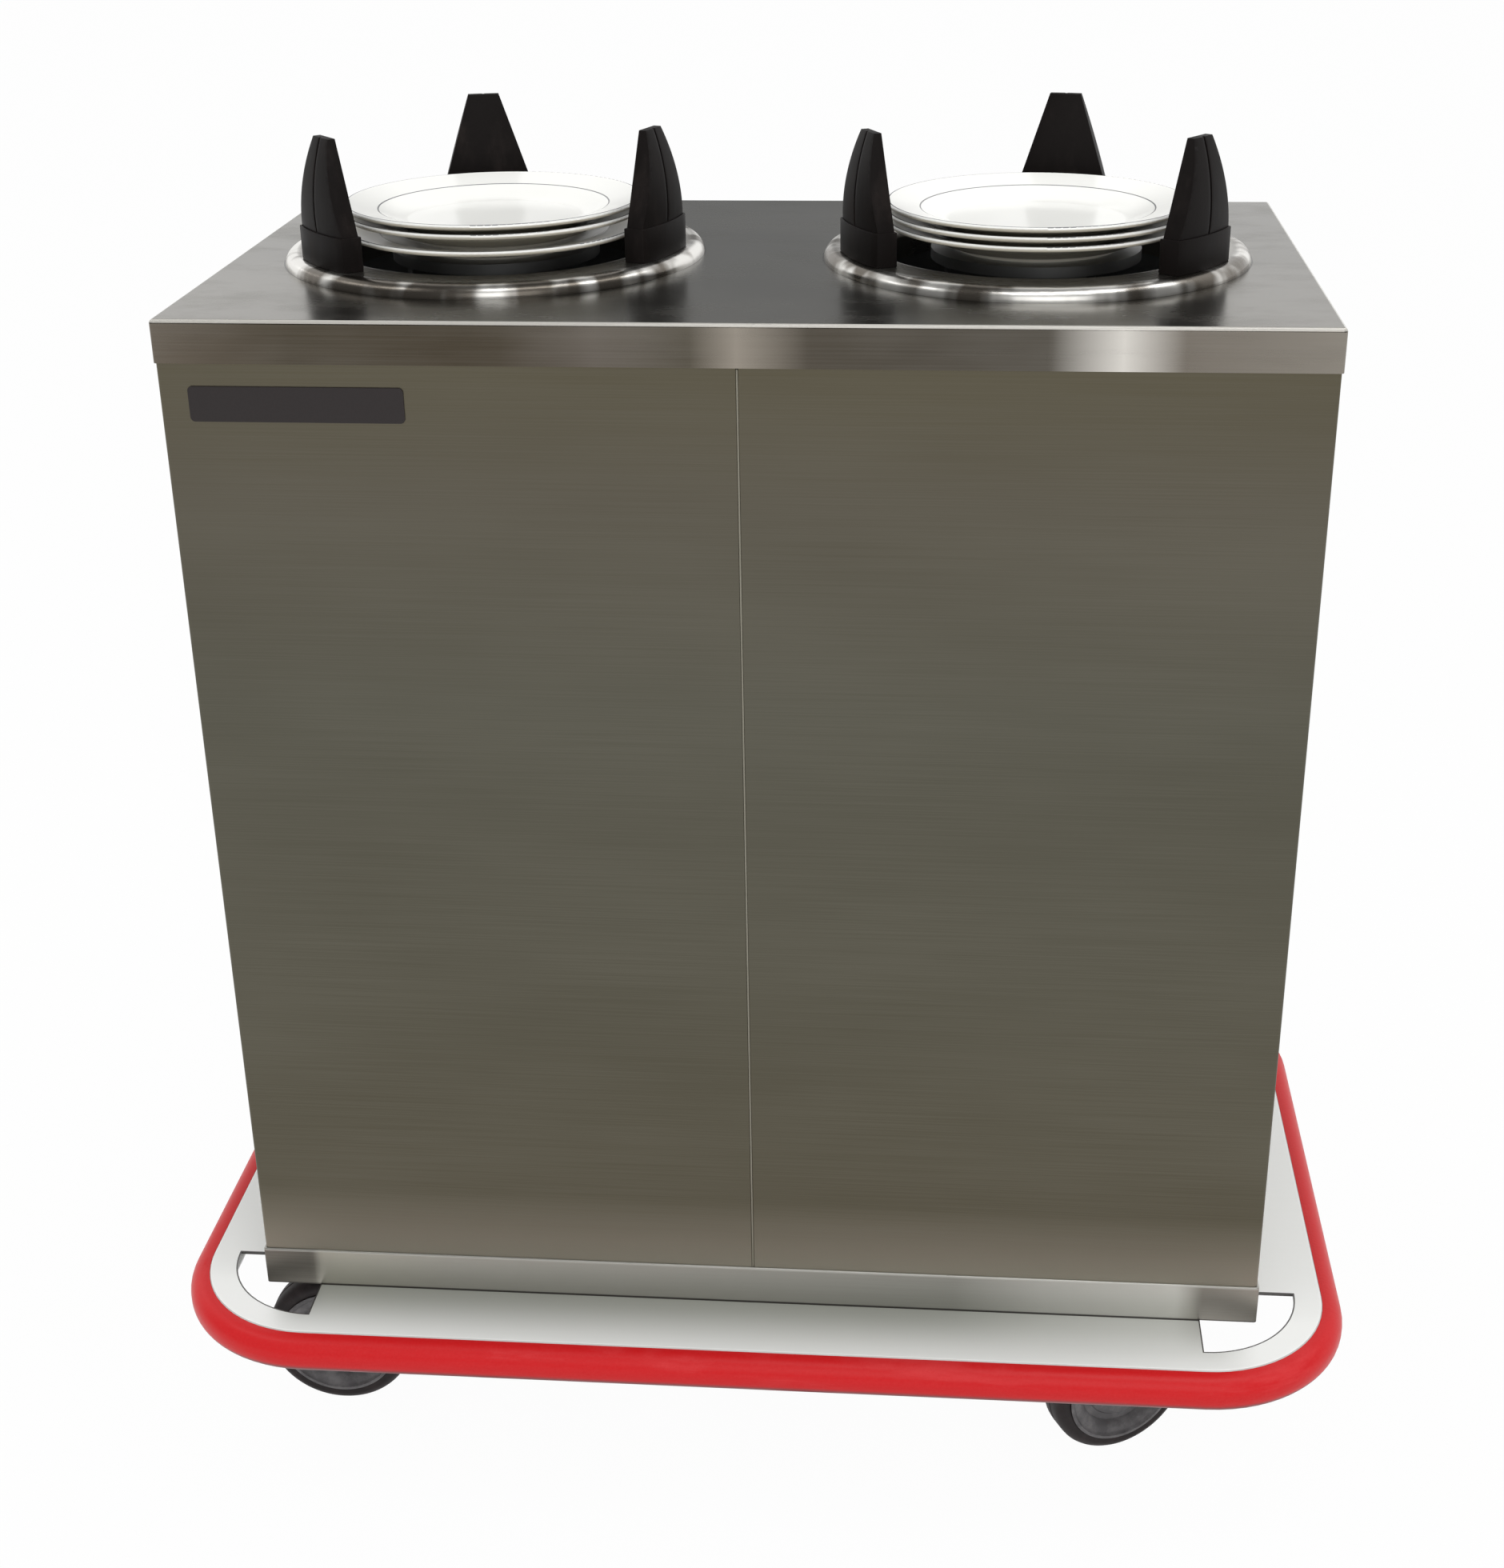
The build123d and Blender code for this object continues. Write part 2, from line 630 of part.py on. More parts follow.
# Guide posts: three tapered blades per unit, each stood in a moulded boot
boots = []
for side, angles in post_angles.items():
    axis = Axis((unit_x[side], 0, 0), (0, 0, 1))
    for place, angle in angles.items():
        foot = unit_plane(side, seat, angle)
        core = boot_wall + boot_gap
        foot_outer = boot_outer_radius - core
        foot_inner = boot_inner_face + core
        foot_half_width = boot_half_width - core
        groove_top = post_top_outer - post_groove_depth
        with BuildPart() as post_front:
            with BuildSketch(outward(foot)):
                with BuildLine():
                    Polyline((-foot_half_width, 0), (foot_half_width, 0), (foot_half_width, boot_height),
                             (post_top_half_width, post_height), (-post_top_half_width, post_height),
                             (-foot_half_width, boot_height), close=True)
                make_face()
            extrude(amount=2 * boot_outer_radius)
        with BuildPart() as post_clearance:
            with BuildSketch(upright(foot)):
                with BuildLine():
                    Polyline((0, -overrun), (foot_inner, -overrun), (foot_inner, boot_height),
                             (post_top_inner, post_height + overrun), (0, post_height + overrun), close=True)
                make_face()
            extrude(amount=2 * boot_half_width, both=True)
        with BuildPart() as post:
            with BuildSketch(upright(foot)):
                with BuildLine():
                    Line((0, 0), (foot_outer, 0))
                    Line((foot_outer, 0), (foot_outer, boot_height))
                    ThreePointArc((foot_outer, boot_height), (post_belly, post_belly_height),
                                  (post_top_outer, post_height))
                    Line((post_top_outer, post_height), (0, post_height))
                    Line((0, post_height), (0, 0))
                make_face()
            revolve(axis=axis)
            add(post_front.part, mode=Mode.INTERSECT)
            add(post_clearance.part, mode=Mode.SUBTRACT)
            with BuildSketch(upright(foot)):
                with BuildLine():
                    Polyline((foot_outer - post_groove_depth, boot_height),
                             (foot_outer + overrun, boot_height), (foot_outer + overrun, post_height + overrun),
                             (groove_top, post_height + overrun), (groove_top, post_height))
                    ThreePointArc((groove_top, post_height),
                                  (post_belly - post_groove_depth, post_belly_height),
                                  (foot_outer - post_groove_depth, boot_height))
                make_face()
            extrude(amount=post_groove_width / 2, both=True, mode=Mode.SUBTRACT)
        name = f"{side}_post_{place}"
        post.part.label = name
        export_step(post.part, f"parts/{name}.step")

        with BuildPart() as boot:
            with BuildSketch(foot):
                add(boot_outline(Plane.XY, 0))
                add(boot_outline(Plane.XY, boot_wall), mode=Mode.SUBTRACT)
            extrude(amount=boot_height)
        boots.append(boot.part)

# The six boots are alike and share one node
post_boots = Compound(label="post_boots", children=boots)
export_step(post_boots, "parts/post_boots.step")


def dish_profile(level, rim_height):
    """Half of a dish in section, foot down, centred on the plane's y direction."""
    foot_height = dish_pitch - dish_wall
    start = rim_height - dish_rim_start_drop * rim_height / dish_rim_height
    shoulder = (dish_rim_start + dish_edge_offset, start - dish_shoulder_wall)
    lip_bottom = (dish_radius, rim_height - dish_rim_wall)
    with BuildSketch(level) as profile:
        with BuildLine():
            Polyline((0, foot_height), (dish_foot_radius - dish_foot_width, foot_height),
                     (dish_foot_radius - dish_foot_width, 0), (dish_foot_radius, 0),
                     (dish_foot_radius, foot_height))
            Spline((dish_foot_radius, foot_height), shoulder,
                   tangents=((1, 0.05), (1, 0.28)), tangent_scalars=(1.1, 0.7))
            Line(shoulder, lip_bottom)
            Line(lip_bottom, (dish_radius, rim_height))
            Line((dish_radius, rim_height), (dish_rim_start, start))
            Spline((dish_rim_start, start), (dish_floor_radius, dish_pitch),
                   tangents=((-1, -0.3), (-1, -0.02)), tangent_scalars=(0.7, 0.8))
            Line((dish_floor_radius, dish_pitch), (0, dish_pitch))
            Line((0, dish_pitch), (0, foot_height))
        make_face()
        rim_corners = profile.vertices().filter_by_position(Axis.X, dish_radius - hair, dish_radius + hair)
        fillet(rim_corners, dish_edge_radius)
    return profile.sketch


# Dishes: three on each carrier, nested foot in well; the left stack's lowest is a flatter one
for side in unit_x:
    axis = Axis((unit_x[side], 0, 0), (0, 0, 1))
    for number in (1, 2, 3):
        flat_one = side == "left" and number == 1
        rim_height = low_dish_rim_height if flat_one else dish_rim_height
        dish_level = deck_top + carrier_top + (number - 1) * dish_pitch
        with BuildPart() as dish:
            with BuildSketch(upright(unit_plane(side, dish_level))):
                add(dish_profile(Plane.XY, rim_height))
            revolve(axis=axis)
        name = f"{side}_plate_{number}"
        dish.part.label = name
        export_step(dish.part, f"parts/{name}.step")


def caster_plane(place, z):
    """A level plane on a caster's pivot, its x direction along the way the wheel trails."""
    px, py, heading = caster_places[place]
    angle = math.radians(heading)
    return Plane(origin=(px, py, z), x_dir=(math.cos(angle), math.sin(angle), 0), z_dir=(0, 0, 1))


# Casters: fork, axle, hub and tyre are separate at each corner
for place in caster_places:
    floor = caster_plane(place, 0)
    side_view = upright(floor)
    wheel_centre = floor.from_local_coords((caster_lead, 0, axle_height))
    wheel_side = Plane(origin=wheel_centre, x_dir=floor.x_dir, z_dir=-floor.y_dir)
    wheel_section = Plane(origin=wheel_centre, x_dir=floor.y_dir, z_dir=floor.x_dir)
    wheel_axis = Axis(wheel_centre, floor.y_dir)

    with BuildPart() as fork:
        with BuildSketch(floor.offset(fork_crown)):
            Rectangle(2 * fork_crown_reach, 2 * fork_half_width)
            Circle(race_radius)
            Circle(kingpin_radius + race_gap, mode=Mode.SUBTRACT)
        extrude(amount=fork_sheet)
        with BuildSketch(side_view.offset(fork_half_gap)) as fork_leg:
            with BuildLine():
                Polyline((-fork_crown_reach, fork_crown + fork_sheet),
                         (fork_crown_reach, fork_crown + fork_sheet),
                         (caster_lead + fork_eye_radius, axle_height),
                         (caster_lead - fork_eye_radius, axle_height),
                         (-fork_crown_reach, fork_crown), close=True)
            make_face()
            with Locations((caster_lead, axle_height)):
                Circle(fork_eye_radius)
                Circle(axle_radius + screw_gap, mode=Mode.SUBTRACT)
        extrude(amount=fork_sheet)
        with BuildSketch(side_view.offset(-fork_half_gap)):
            add(fork_leg.sketch_local)
        extrude(amount=-fork_sheet)
    name = f"caster_fork_{place}"
    fork.part.label = name
    export_step(fork.part, f"parts/{name}.step")

    with BuildPart() as axle:
        with BuildSketch(wheel_side.offset(-fork_half_width)):
            Circle(axle_radius)
        extrude(amount=2 * fork_half_width)
        with BuildSketch(wheel_side.offset(fork_half_width)):
            RegularPolygon(axle_head_radius, 6)
        extrude(amount=axle_head_height)
        with BuildSketch(wheel_side.offset(-fork_half_width)):
            RegularPolygon(axle_head_radius, 6)
        extrude(amount=-axle_head_height)
    name = f"caster_axle_{place}"
    axle.part.label = name
    export_step(axle.part, f"parts/{name}.step")

    with BuildPart() as hub:
        with BuildSketch(wheel_section):
            with BuildLine():
                Polyline((-hub_boss_width / 2, axle_radius + shaft_gap),
                         (-hub_boss_width / 2, hub_boss_radius),
                         (-hub_web_width / 2, hub_boss_radius + hub_rim_depth),
                         (-hub_web_width / 2, hub_radius - 2 * hub_rim_depth),
                         (-hub_rim_width / 2, hub_radius - hub_rim_depth), (-hub_rim_width / 2, hub_radius),
                         (hub_rim_width / 2, hub_radius), (hub_rim_width / 2, hub_radius - hub_rim_depth),
                         (hub_web_width / 2, hub_radius - 2 * hub_rim_depth),
                         (hub_web_width / 2, hub_boss_radius + hub_rim_depth),
                         (hub_boss_width / 2, hub_boss_radius), (hub_boss_width / 2, axle_radius + shaft_gap),
                         close=True)
            make_face()
        revolve(axis=wheel_axis)
    name = f"caster_hub_{place}"
    hub.part.label = name
    export_step(hub.part, f"parts/{name}.step")

    with BuildPart() as tyre:
        with BuildSketch(wheel_side.offset(-tyre_width / 2)):
            Circle(wheel_radius)
            Circle(hub_radius + shaft_gap, mode=Mode.SUBTRACT)
        extrude(amount=tyre_width)
        tread_edges = tyre.edges().filter_by(GeomType.CIRCLE).sort_by(SortBy.RADIUS)[-2:]
        fillet(tread_edges, tyre_shoulder)
    name = f"caster_tyre_{place}"
    tyre.part.label = name
    export_step(tyre.part, f"parts/{name}.step")

# Caster top plates with their races and kingpins: four alike in one node
head_parts = []
for px, py, _ in caster_places.values():
    with BuildPart() as head:
        with BuildSketch(Plane((px, py, caster_top - caster_plate_sheet))):
            RectangleRounded(caster_plate_width, caster_plate_length, caster_plate_corner)
            with GridLocations(caster_bolt_spacing_x, caster_bolt_spacing_y, 2, 2):
                Circle(caster_bolt_radius + screw_gap, mode=Mode.SUBTRACT)
        extrude(amount=caster_plate_sheet)
        with BuildSketch(Plane((px, py, race_bottom))):
            Circle(race_radius - caster_plate_sheet)
        extrude(amount=race_height)
        with BuildSketch(Plane((px, py, fork_crown - race_gap - kingpin_nut_height))):
            Circle(kingpin_radius)
        extrude(amount=caster_top - fork_crown + race_gap + kingpin_nut_height)
        with BuildSketch(Plane((px, py, fork_crown - race_gap - kingpin_nut_height))):
            RegularPolygon(kingpin_nut_radius, 6)
        extrude(amount=kingpin_nut_height)
    head_parts.append(head.part)
caster_plates = Compound(label="caster_plates", children=head_parts)
export_step(caster_plates, "parts/caster_plates.step")

# Caster bolts: dome heads on the base deck, nuts under the plates
with BuildPart() as caster_bolts:
    with BuildSketch(Plane.XY.offset(base_top)):
        with Locations(*caster_bolts_at):
            Circle(caster_bolt_head_radius)
    extrude(amount=caster_bolt_head_height)
    fillet(caster_bolts.faces().group_by(Axis.Z)[-1].edges(), caster_bolt_dome)
    with BuildSketch(Plane.XY.offset(base_top)):
        with Locations(*caster_bolts_at):
            Circle(caster_bolt_radius)
    extrude(amount=-(base_sheet + caster_plate_sheet + caster_bolt_head_height))
    with BuildSketch(Plane.XY.offset(caster_top - caster_plate_sheet)):
        with Locations(*caster_bolts_at):
            RegularPolygon(caster_bolt_head_radius, 6)
    extrude(amount=-caster_bolt_head_height)
caster_bolts.part.label = "caster_bolts"
export_step(caster_bolts.part, "parts/caster_bolts.step")

# Panel screws: pan heads on the back panel and the control panel
with BuildPart() as panel_screws:
    for points, face in ((back_screws, back_face), (control_screws, control_face)):
        with BuildSketch(back_plane(0, face, 0)):
            with Locations(*[(-x, z) for x, z in points]):
                Circle(screw_head_radius)
        extrude(amount=screw_head_height)
        with BuildSketch(back_plane(0, face, 0)):
            with Locations(*[(-x, z) for x, z in points]):
                Circle(screw_radius)
        extrude(amount=-screw_length)
panel_screws.part.label = "panel_screws"
export_step(panel_screws.part, "parts/panel_screws.step")

# Control panel: a plate over the back panel's cut-out, pierced for its controls
with BuildPart() as control_panel:
    with BuildSketch(back_plane(0, back_face, control_middle)):
        RectangleRounded(control_panel_length, control_panel_height, control_panel_corner)
        with Locations(*[(-x, z - control_middle) for x, z in control_screws]):
            Circle(screw_radius + screw_gap, mode=Mode.SUBTRACT)
        with Locations((-switch_x, 0)):
            Rectangle(switch_length - 2 * (switch_wall - cutout_gap),
                      switch_height - 2 * (switch_wall - cutout_gap), mode=Mode.SUBTRACT)
        with Locations((-lamp_x, 0)):
            Circle(lamp_radius + screw_gap, mode=Mode.SUBTRACT)
        with Locations((-knob_x, 0)):
            Circle(bushing_radius + screw_gap, mode=Mode.SUBTRACT)
        with Locations((-inlet_x, 0)):
            Rectangle(inlet_recess_length + 2 * (inlet_wall + cutout_gap),
                      inlet_recess_height + 2 * (inlet_wall + cutout_gap), mode=Mode.SUBTRACT)
    extrude(amount=control_panel_sheet)
control_panel.part.label = "control_panel"
export_step(control_panel.part, "parts/control_panel.step")

# Control box: an open tray behind the control panel; the element's two ends enter its front
with BuildPart() as control_box:
    box_length = control_cutout_length - 2 * control_box_margin
    box_height = control_cutout_height - 2 * control_box_margin
    with BuildSketch(back_plane(0, back_face, control_middle)):
        Rectangle(box_length, box_height)
    extrude(amount=-control_box_depth)
    with BuildSketch(back_plane(0, back_face, control_middle)):
        Rectangle(box_length - 2 * control_box_sheet, box_height - 2 * control_box_sheet)
    extrude(amount=-control_box_depth + control_box_sheet, mode=Mode.SUBTRACT)
control_box.part.label = "control_box"
export_step(control_box.part, "parts/control_box.step")

# Power switch: bezel and housing, open at the back for the rocker
with BuildPart() as switch_housing:
    with BuildSketch(back_plane(switch_x, control_face, control_middle)):
        Rectangle(switch_length, switch_height)
    extrude(amount=switch_bezel)
    with BuildSketch(back_plane(switch_x, control_face, control_middle)):
        Rectangle(switch_length - 2 * switch_wall, switch_height - 2 * switch_wall)
    extrude(amount=-switch_depth)
    with BuildSketch(back_plane(switch_x, control_face + switch_bezel, control_middle)):
        Rectangle(switch_length - 4 * switch_wall, switch_height - 3 * switch_wall)
    extrude(amount=-switch_depth, mode=Mode.SUBTRACT)
    with BuildSketch(Plane.YZ.offset(switch_x)):
        with Locations((control_face, control_middle)):
            Circle(rocker_pin_radius)
    extrude(amount=switch_length / 2 - 1.5 * switch_wall, both=True)
switch_housing.part.label = "switch_housing"
export_step(switch_housing.part, "parts/switch_housing.step")

# Rocker: a key that tips on the housing's pin; at rest its lower half stands out
with BuildPart() as switch_rocker:
    key_half = (switch_height - 3 * switch_wall) / 2 - rocker_gap
    tilt = math.radians(rocker_tilt)
    key_plane = Plane(origin=(switch_x, control_face, control_middle),
                      x_dir=(0, math.cos(tilt), math.sin(tilt)), z_dir=(1, 0, 0))
    with BuildSketch(key_plane):
        with BuildLine():
            ThreePointArc((switch_bezel, -key_half), (switch_bezel + rocker_crown, 0),
                          (switch_bezel, key_half))
            Polyline((switch_bezel, key_half), (-rocker_pin_radius, key_half), (-rocker_heel, 0),
                     (-rocker_pin_radius, -key_half), (switch_bezel, -key_half))
        make_face()
        Circle(rocker_pin_radius + shaft_gap, mode=Mode.SUBTRACT)
    extrude(amount=(switch_length - 4 * switch_wall) / 2 - rocker_gap, both=True)
switch_rocker.part.label = "switch_rocker"
export_step(switch_rocker.part, "parts/switch_rocker.step")

# Pilot lamp: a domed lens on a round body
with BuildPart() as pilot_lamp:
    with BuildSketch(back_plane(lamp_x, control_face, control_middle)):
        Circle(lamp_bezel_radius)
    extrude(amount=switch_bezel)
    with BuildSketch(back_plane(lamp_x, control_face + switch_bezel, control_middle)):
        Circle(lamp_radius)
    extrude(amount=lamp_dome_height)
    fillet(pilot_lamp.faces().sort_by(Axis.Y)[-1].edges(), lamp_dome_radius)
    with BuildSketch(back_plane(lamp_x, control_face, control_middle)):
        Circle(lamp_radius)
    extrude(amount=-switch_depth)
pilot_lamp.part.label = "pilot_lamp"
export_step(pilot_lamp.part, "parts/pilot_lamp.step")

# Thermostat: body behind the panel, bushing through it and the shaft that the knob turns
with BuildPart() as thermostat:
    with BuildSketch(back_plane(knob_x, back_face, control_middle)):
        Rectangle(thermostat_length, thermostat_height)
    extrude(amount=-thermostat_depth)
    with BuildSketch(back_plane(knob_x, back_face, control_middle)):
        Circle(bushing_radius)
    extrude(amount=control_panel_sheet)
    with BuildSketch(back_plane(knob_x, back_face, control_middle)):
        Circle(shaft_radius)
    extrude(amount=control_panel_sheet + knob_stand_off + knob_bore - shaft_end_gap)
thermostat.part.label = "thermostat"
export_step(thermostat.part, "parts/thermostat.step")

# Thermostat knob: fluted skirt and a raised grip bar
with BuildPart() as thermostat_knob:
    with BuildSketch(back_plane(knob_x, control_face + knob_stand_off, control_middle)):
        Circle(knob_radius)
        with PolarLocations(knob_radius, knob_flutes):
            Circle(knob_flute_radius, mode=Mode.SUBTRACT)
    extrude(amount=knob_skirt)
    with BuildSketch(back_plane(knob_x, control_face + knob_stand_off, control_middle)):
        SlotOverall(knob_grip_length, knob_grip_width, rotation=90)
    extrude(amount=knob_height)
    with BuildSketch(back_plane(knob_x, control_face + knob_stand_off, control_middle)):
        Circle(shaft_radius + shaft_gap)
    extrude(amount=knob_bore, mode=Mode.SUBTRACT)
thermostat_knob.part.label = "thermostat_knob"
export_step(thermostat_knob.part, "parts/thermostat_knob.step")

# Power inlet: a flanged recess with three flat pins
with BuildPart() as power_inlet:
    with BuildSketch(back_plane(inlet_x, control_face, control_middle)):
        RectangleRounded(inlet_length, inlet_height, inlet_corner)
    extrude(amount=inlet_flange)
    with BuildSketch(back_plane(inlet_x, control_face, control_middle)):
        Rectangle(inlet_recess_length + 2 * inlet_wall, inlet_recess_height + 2 * inlet_wall)
    extrude(amount=-inlet_depth)
    with BuildSketch(back_plane(inlet_x, control_face + inlet_flange, control_middle)):
        RectangleRounded(inlet_recess_length, inlet_recess_height, inlet_recess_corner)
    extrude(amount=-(inlet_flange + inlet_depth - inlet_floor), mode=Mode.SUBTRACT)
    with BuildSketch(back_plane(inlet_x, control_face - inlet_depth, control_middle)):
        with Locations((0, inlet_pin_rise / 2), (-inlet_pin_spacing / 2, -inlet_pin_rise / 2),
                       (inlet_pin_spacing / 2, -inlet_pin_rise / 2)):
            Rectangle(inlet_pin_width, inlet_pin_height)
    extrude(amount=inlet_depth - inlet_pin_setback)
power_inlet.part.label = "power_inlet"
export_step(power_inlet.part, "parts/power_inlet.step")

# Heating element: one sheathed rod looped under both tubes, its ends up against the control box
element_route = [
    (-element_lead_x, box_front), (-element_lead_x, element_half_width),
    (-element_half_length, element_half_width), (-element_half_length, -element_half_width),
    (element_half_length, -element_half_width), (element_half_length, element_half_width),
    (element_lead_x, element_half_width), (element_lead_x, box_front),
]
with BuildPart() as heating_element:
    with BuildLine() as element_path:
        FilletPolyline(*[(x, y, element_level) for x, y in element_route], radius=element_bend)
    with BuildSketch(Plane((-element_lead_x, box_front, element_level), z_dir=(0, -1, 0))):
        Circle(element_radius)
    sweep()
heating_element.part.label = "heating_element"
export_step(heating_element.part, "parts/heating_element.step")

# Heater brackets: four folded plates on the base deck, each holding both runs of the element
bracket_parts = []
for x in (-bracket_x_outer, -bracket_x_inner, bracket_x_inner, bracket_x_outer):
    with BuildPart() as bracket:
        with BuildSketch(Plane.YZ.offset(x)):
            with Locations((0, base_top + (element_rise + 2 * element_radius) / 2)):
                Rectangle(2 * (element_half_width + bracket_overhang), element_rise + 2 * element_radius)
            with Locations((-element_half_width, element_level), (element_half_width, element_level)):
                Circle(element_radius + shaft_gap, mode=Mode.SUBTRACT)
        extrude(amount=bracket_sheet)
        with BuildSketch(Plane.XY.offset(base_top)):
            with Locations((x + bracket_foot / 2, 0)):
                Rectangle(bracket_foot, 2 * (element_half_width + bracket_overhang))
        extrude(amount=bracket_sheet)
    bracket_parts.append(bracket.part)
heater_brackets = Compound(label="heater_brackets", children=bracket_parts)
export_step(heater_brackets, "parts/heater_brackets.step")
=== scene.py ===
import json
import math

import bpy
from mathutils import Euler, Matrix, Vector


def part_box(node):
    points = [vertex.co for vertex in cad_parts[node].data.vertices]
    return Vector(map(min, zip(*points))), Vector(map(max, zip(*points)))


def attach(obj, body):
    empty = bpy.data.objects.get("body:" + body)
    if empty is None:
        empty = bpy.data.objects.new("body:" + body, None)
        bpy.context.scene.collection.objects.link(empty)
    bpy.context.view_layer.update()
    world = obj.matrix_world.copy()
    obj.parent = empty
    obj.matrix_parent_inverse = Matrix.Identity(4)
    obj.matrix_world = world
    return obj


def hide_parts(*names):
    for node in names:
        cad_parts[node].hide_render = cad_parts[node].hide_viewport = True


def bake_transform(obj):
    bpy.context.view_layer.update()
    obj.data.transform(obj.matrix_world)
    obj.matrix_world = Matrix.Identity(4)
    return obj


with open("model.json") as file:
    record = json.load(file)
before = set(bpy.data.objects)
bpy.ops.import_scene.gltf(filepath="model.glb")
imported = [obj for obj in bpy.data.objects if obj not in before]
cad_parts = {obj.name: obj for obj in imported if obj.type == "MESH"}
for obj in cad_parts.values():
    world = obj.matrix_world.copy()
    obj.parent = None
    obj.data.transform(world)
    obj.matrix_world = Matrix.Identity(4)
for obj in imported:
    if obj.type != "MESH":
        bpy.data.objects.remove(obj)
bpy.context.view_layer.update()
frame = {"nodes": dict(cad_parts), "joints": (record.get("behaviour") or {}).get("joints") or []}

nodes = frame["nodes"]

# The standpoint: a hand-held camera in front of the dispenser, a little right of its middle,
# looking down past the deck's front edge so that the whole of it is in view.
photo_width, photo_height = 1880, 1960
focal_pixels = 2847.4
principal_x, principal_y = 962.55, 961.66
eye = Vector((0.15349, -1.76110, 1.34410))
look_left, look_down, camera_roll = (math.radians(angle) for angle in (4.993, 24.34, -0.753))
bpy.ops.object.camera_add()
camera = bpy.context.object
aim = (Euler((math.pi / 2 - look_down, 0, look_left)).to_matrix()
       @ Matrix.Rotation(camera_roll, 3, "Z"))
camera.matrix_world = Matrix.Translation(eye) @ aim.to_4x4()
camera.data.lens = focal_pixels / photo_height * camera.data.sensor_width
camera.data.shift_x = (photo_width / 2 - principal_x) / photo_height
camera.data.shift_y = (principal_y - photo_height / 2) / photo_height
bpy.context.scene.camera = camera
bpy.context.scene.view_settings.view_transform = "Standard"


# The floor: a plain pale studio floor that runs out of sight. It shows white to the camera and
# in the metal, less the soft shadow that the dispenser leaves on it.


class Wire:
    """A shader node's output. Sums, products and comparisons with it add their Math nodes."""

    def __init__(self, sheet, socket):
        self.sheet = sheet
        self.socket = socket

    def maths(self, operation, first, second):
        return self.sheet.node("ShaderNodeMath", {"operation": operation}, {0: first, 1: second})

    def __add__(self, other):
        return self.maths("ADD", self, other)

    def __radd__(self, other):
        return self.maths("ADD", other, self)

    def __sub__(self, other):
        return self.maths("SUBTRACT", self, other)

    def __rsub__(self, other):
        return self.maths("SUBTRACT", other, self)

    def __mul__(self, other):
        return self.maths("MULTIPLY", self, other)

    def __rmul__(self, other):
        return self.maths("MULTIPLY", other, self)

    def __truediv__(self, other):
        return self.maths("DIVIDE", self, other)

    def __pow__(self, other):
        return self.maths("POWER", self, other)

    def __gt__(self, other):
        return self.maths("GREATER_THAN", self, other)

    def __lt__(self, other):
        return self.maths("LESS_THAN", self, other)

    def __abs__(self):
        return self.maths("ABSOLUTE", self, 0.0)


class Sheet:
    """A node tree that is being wired: a finish, or the room's light."""

    def __init__(self, tree):
        self.tree = tree

    def node(self, kind, settings, inputs, output=0):
        """One node: its settings first, then the values or wires of its sockets."""
        made = self.tree.nodes.new(kind)
        for name, value in settings.items():
            if name == "stops":
                ramp = made.color_ramp.elements
                while len(ramp) < len(value):
                    ramp.new(0.5)
                for element, (position, colour) in zip(ramp, value):
                    element.position = position
                    element.color = colour
            else:
                setattr(made, name, value)
        for name, value in inputs.items():
            if isinstance(value, Wire):
                self.tree.links.new(value.socket, made.inputs[name])
            else:
                made.inputs[name].default_value = value
        return Wire(self, made.outputs[output])

    def mix(self, factor, first, second):
        """A colour part way from the first to the second."""
        return self.node("ShaderNodeMix", {"data_type": "RGBA"},
                         {0: factor, 6: first, 7: second}, output=2)

    def step(self, value, low, high):
        """0 below low, 1 above high and smooth between; low may be the higher one."""
        return self.node("ShaderNodeMapRange", {"interpolation_type": "SMOOTHSTEP"},
                         {"Value": value, "From Min": low, "From Max": high})

    def vector(self, x, y, z):
        return self.node("ShaderNodeCombineXYZ", {}, {0: x, 1: y, 2: z})

    def noise(self, vector, scale, detail=2.0, roughness=0.5):
        return self.node("ShaderNodeTexNoise", {}, {
            "Vector": vector, "Scale": scale, "Detail": detail, "Roughness": roughness})


class Finish(Sheet):
    """A surface: its constants sit on the shader's own sockets, and vary() wires in the rest."""

    def __init__(self, name, constants):
        self.material = bpy.data.materials.new(name)
        self.material.use_nodes = True
        super().__init__(self.material.node_tree)
        self.shader = self.tree.nodes["Principled BSDF"]
        for socket, value in constants.items():
            self.shader.inputs[socket].default_value = value
        self.place = self.node("ShaderNodeTexCoord", {}, {}, output="Object")
        self.x, self.y, self.z = self.split(self.place)

    def split(self, vector):
        return [self.node("ShaderNodeSeparateXYZ", {}, {0: vector}, output=axis)
                for axis in range(3)]

    def normal(self):
        """The true normal's three parts."""
        return self.split(self.node("ShaderNodeNewGeometry", {}, {}, output="True Normal"))

    def vary(self, wires):
        for socket, wire in wires.items():
            self.tree.links.new(wire.socket, self.shader.inputs[socket])

    def bump(self, height, distance, strength=1.0):
        return self.node("ShaderNodeBump", {}, {
            "Height": height, "Distance": distance, "Strength": strength})


def paint(red, green, blue):
    """A shader colour from the 0 to 255 numbers of a paint card."""
    return (*[(c / 255 / 12.92) if c <= 10 else ((c / 255 + 0.055) / 1.055) ** 2.4
              for c in (red, green, blue)], 1.0)


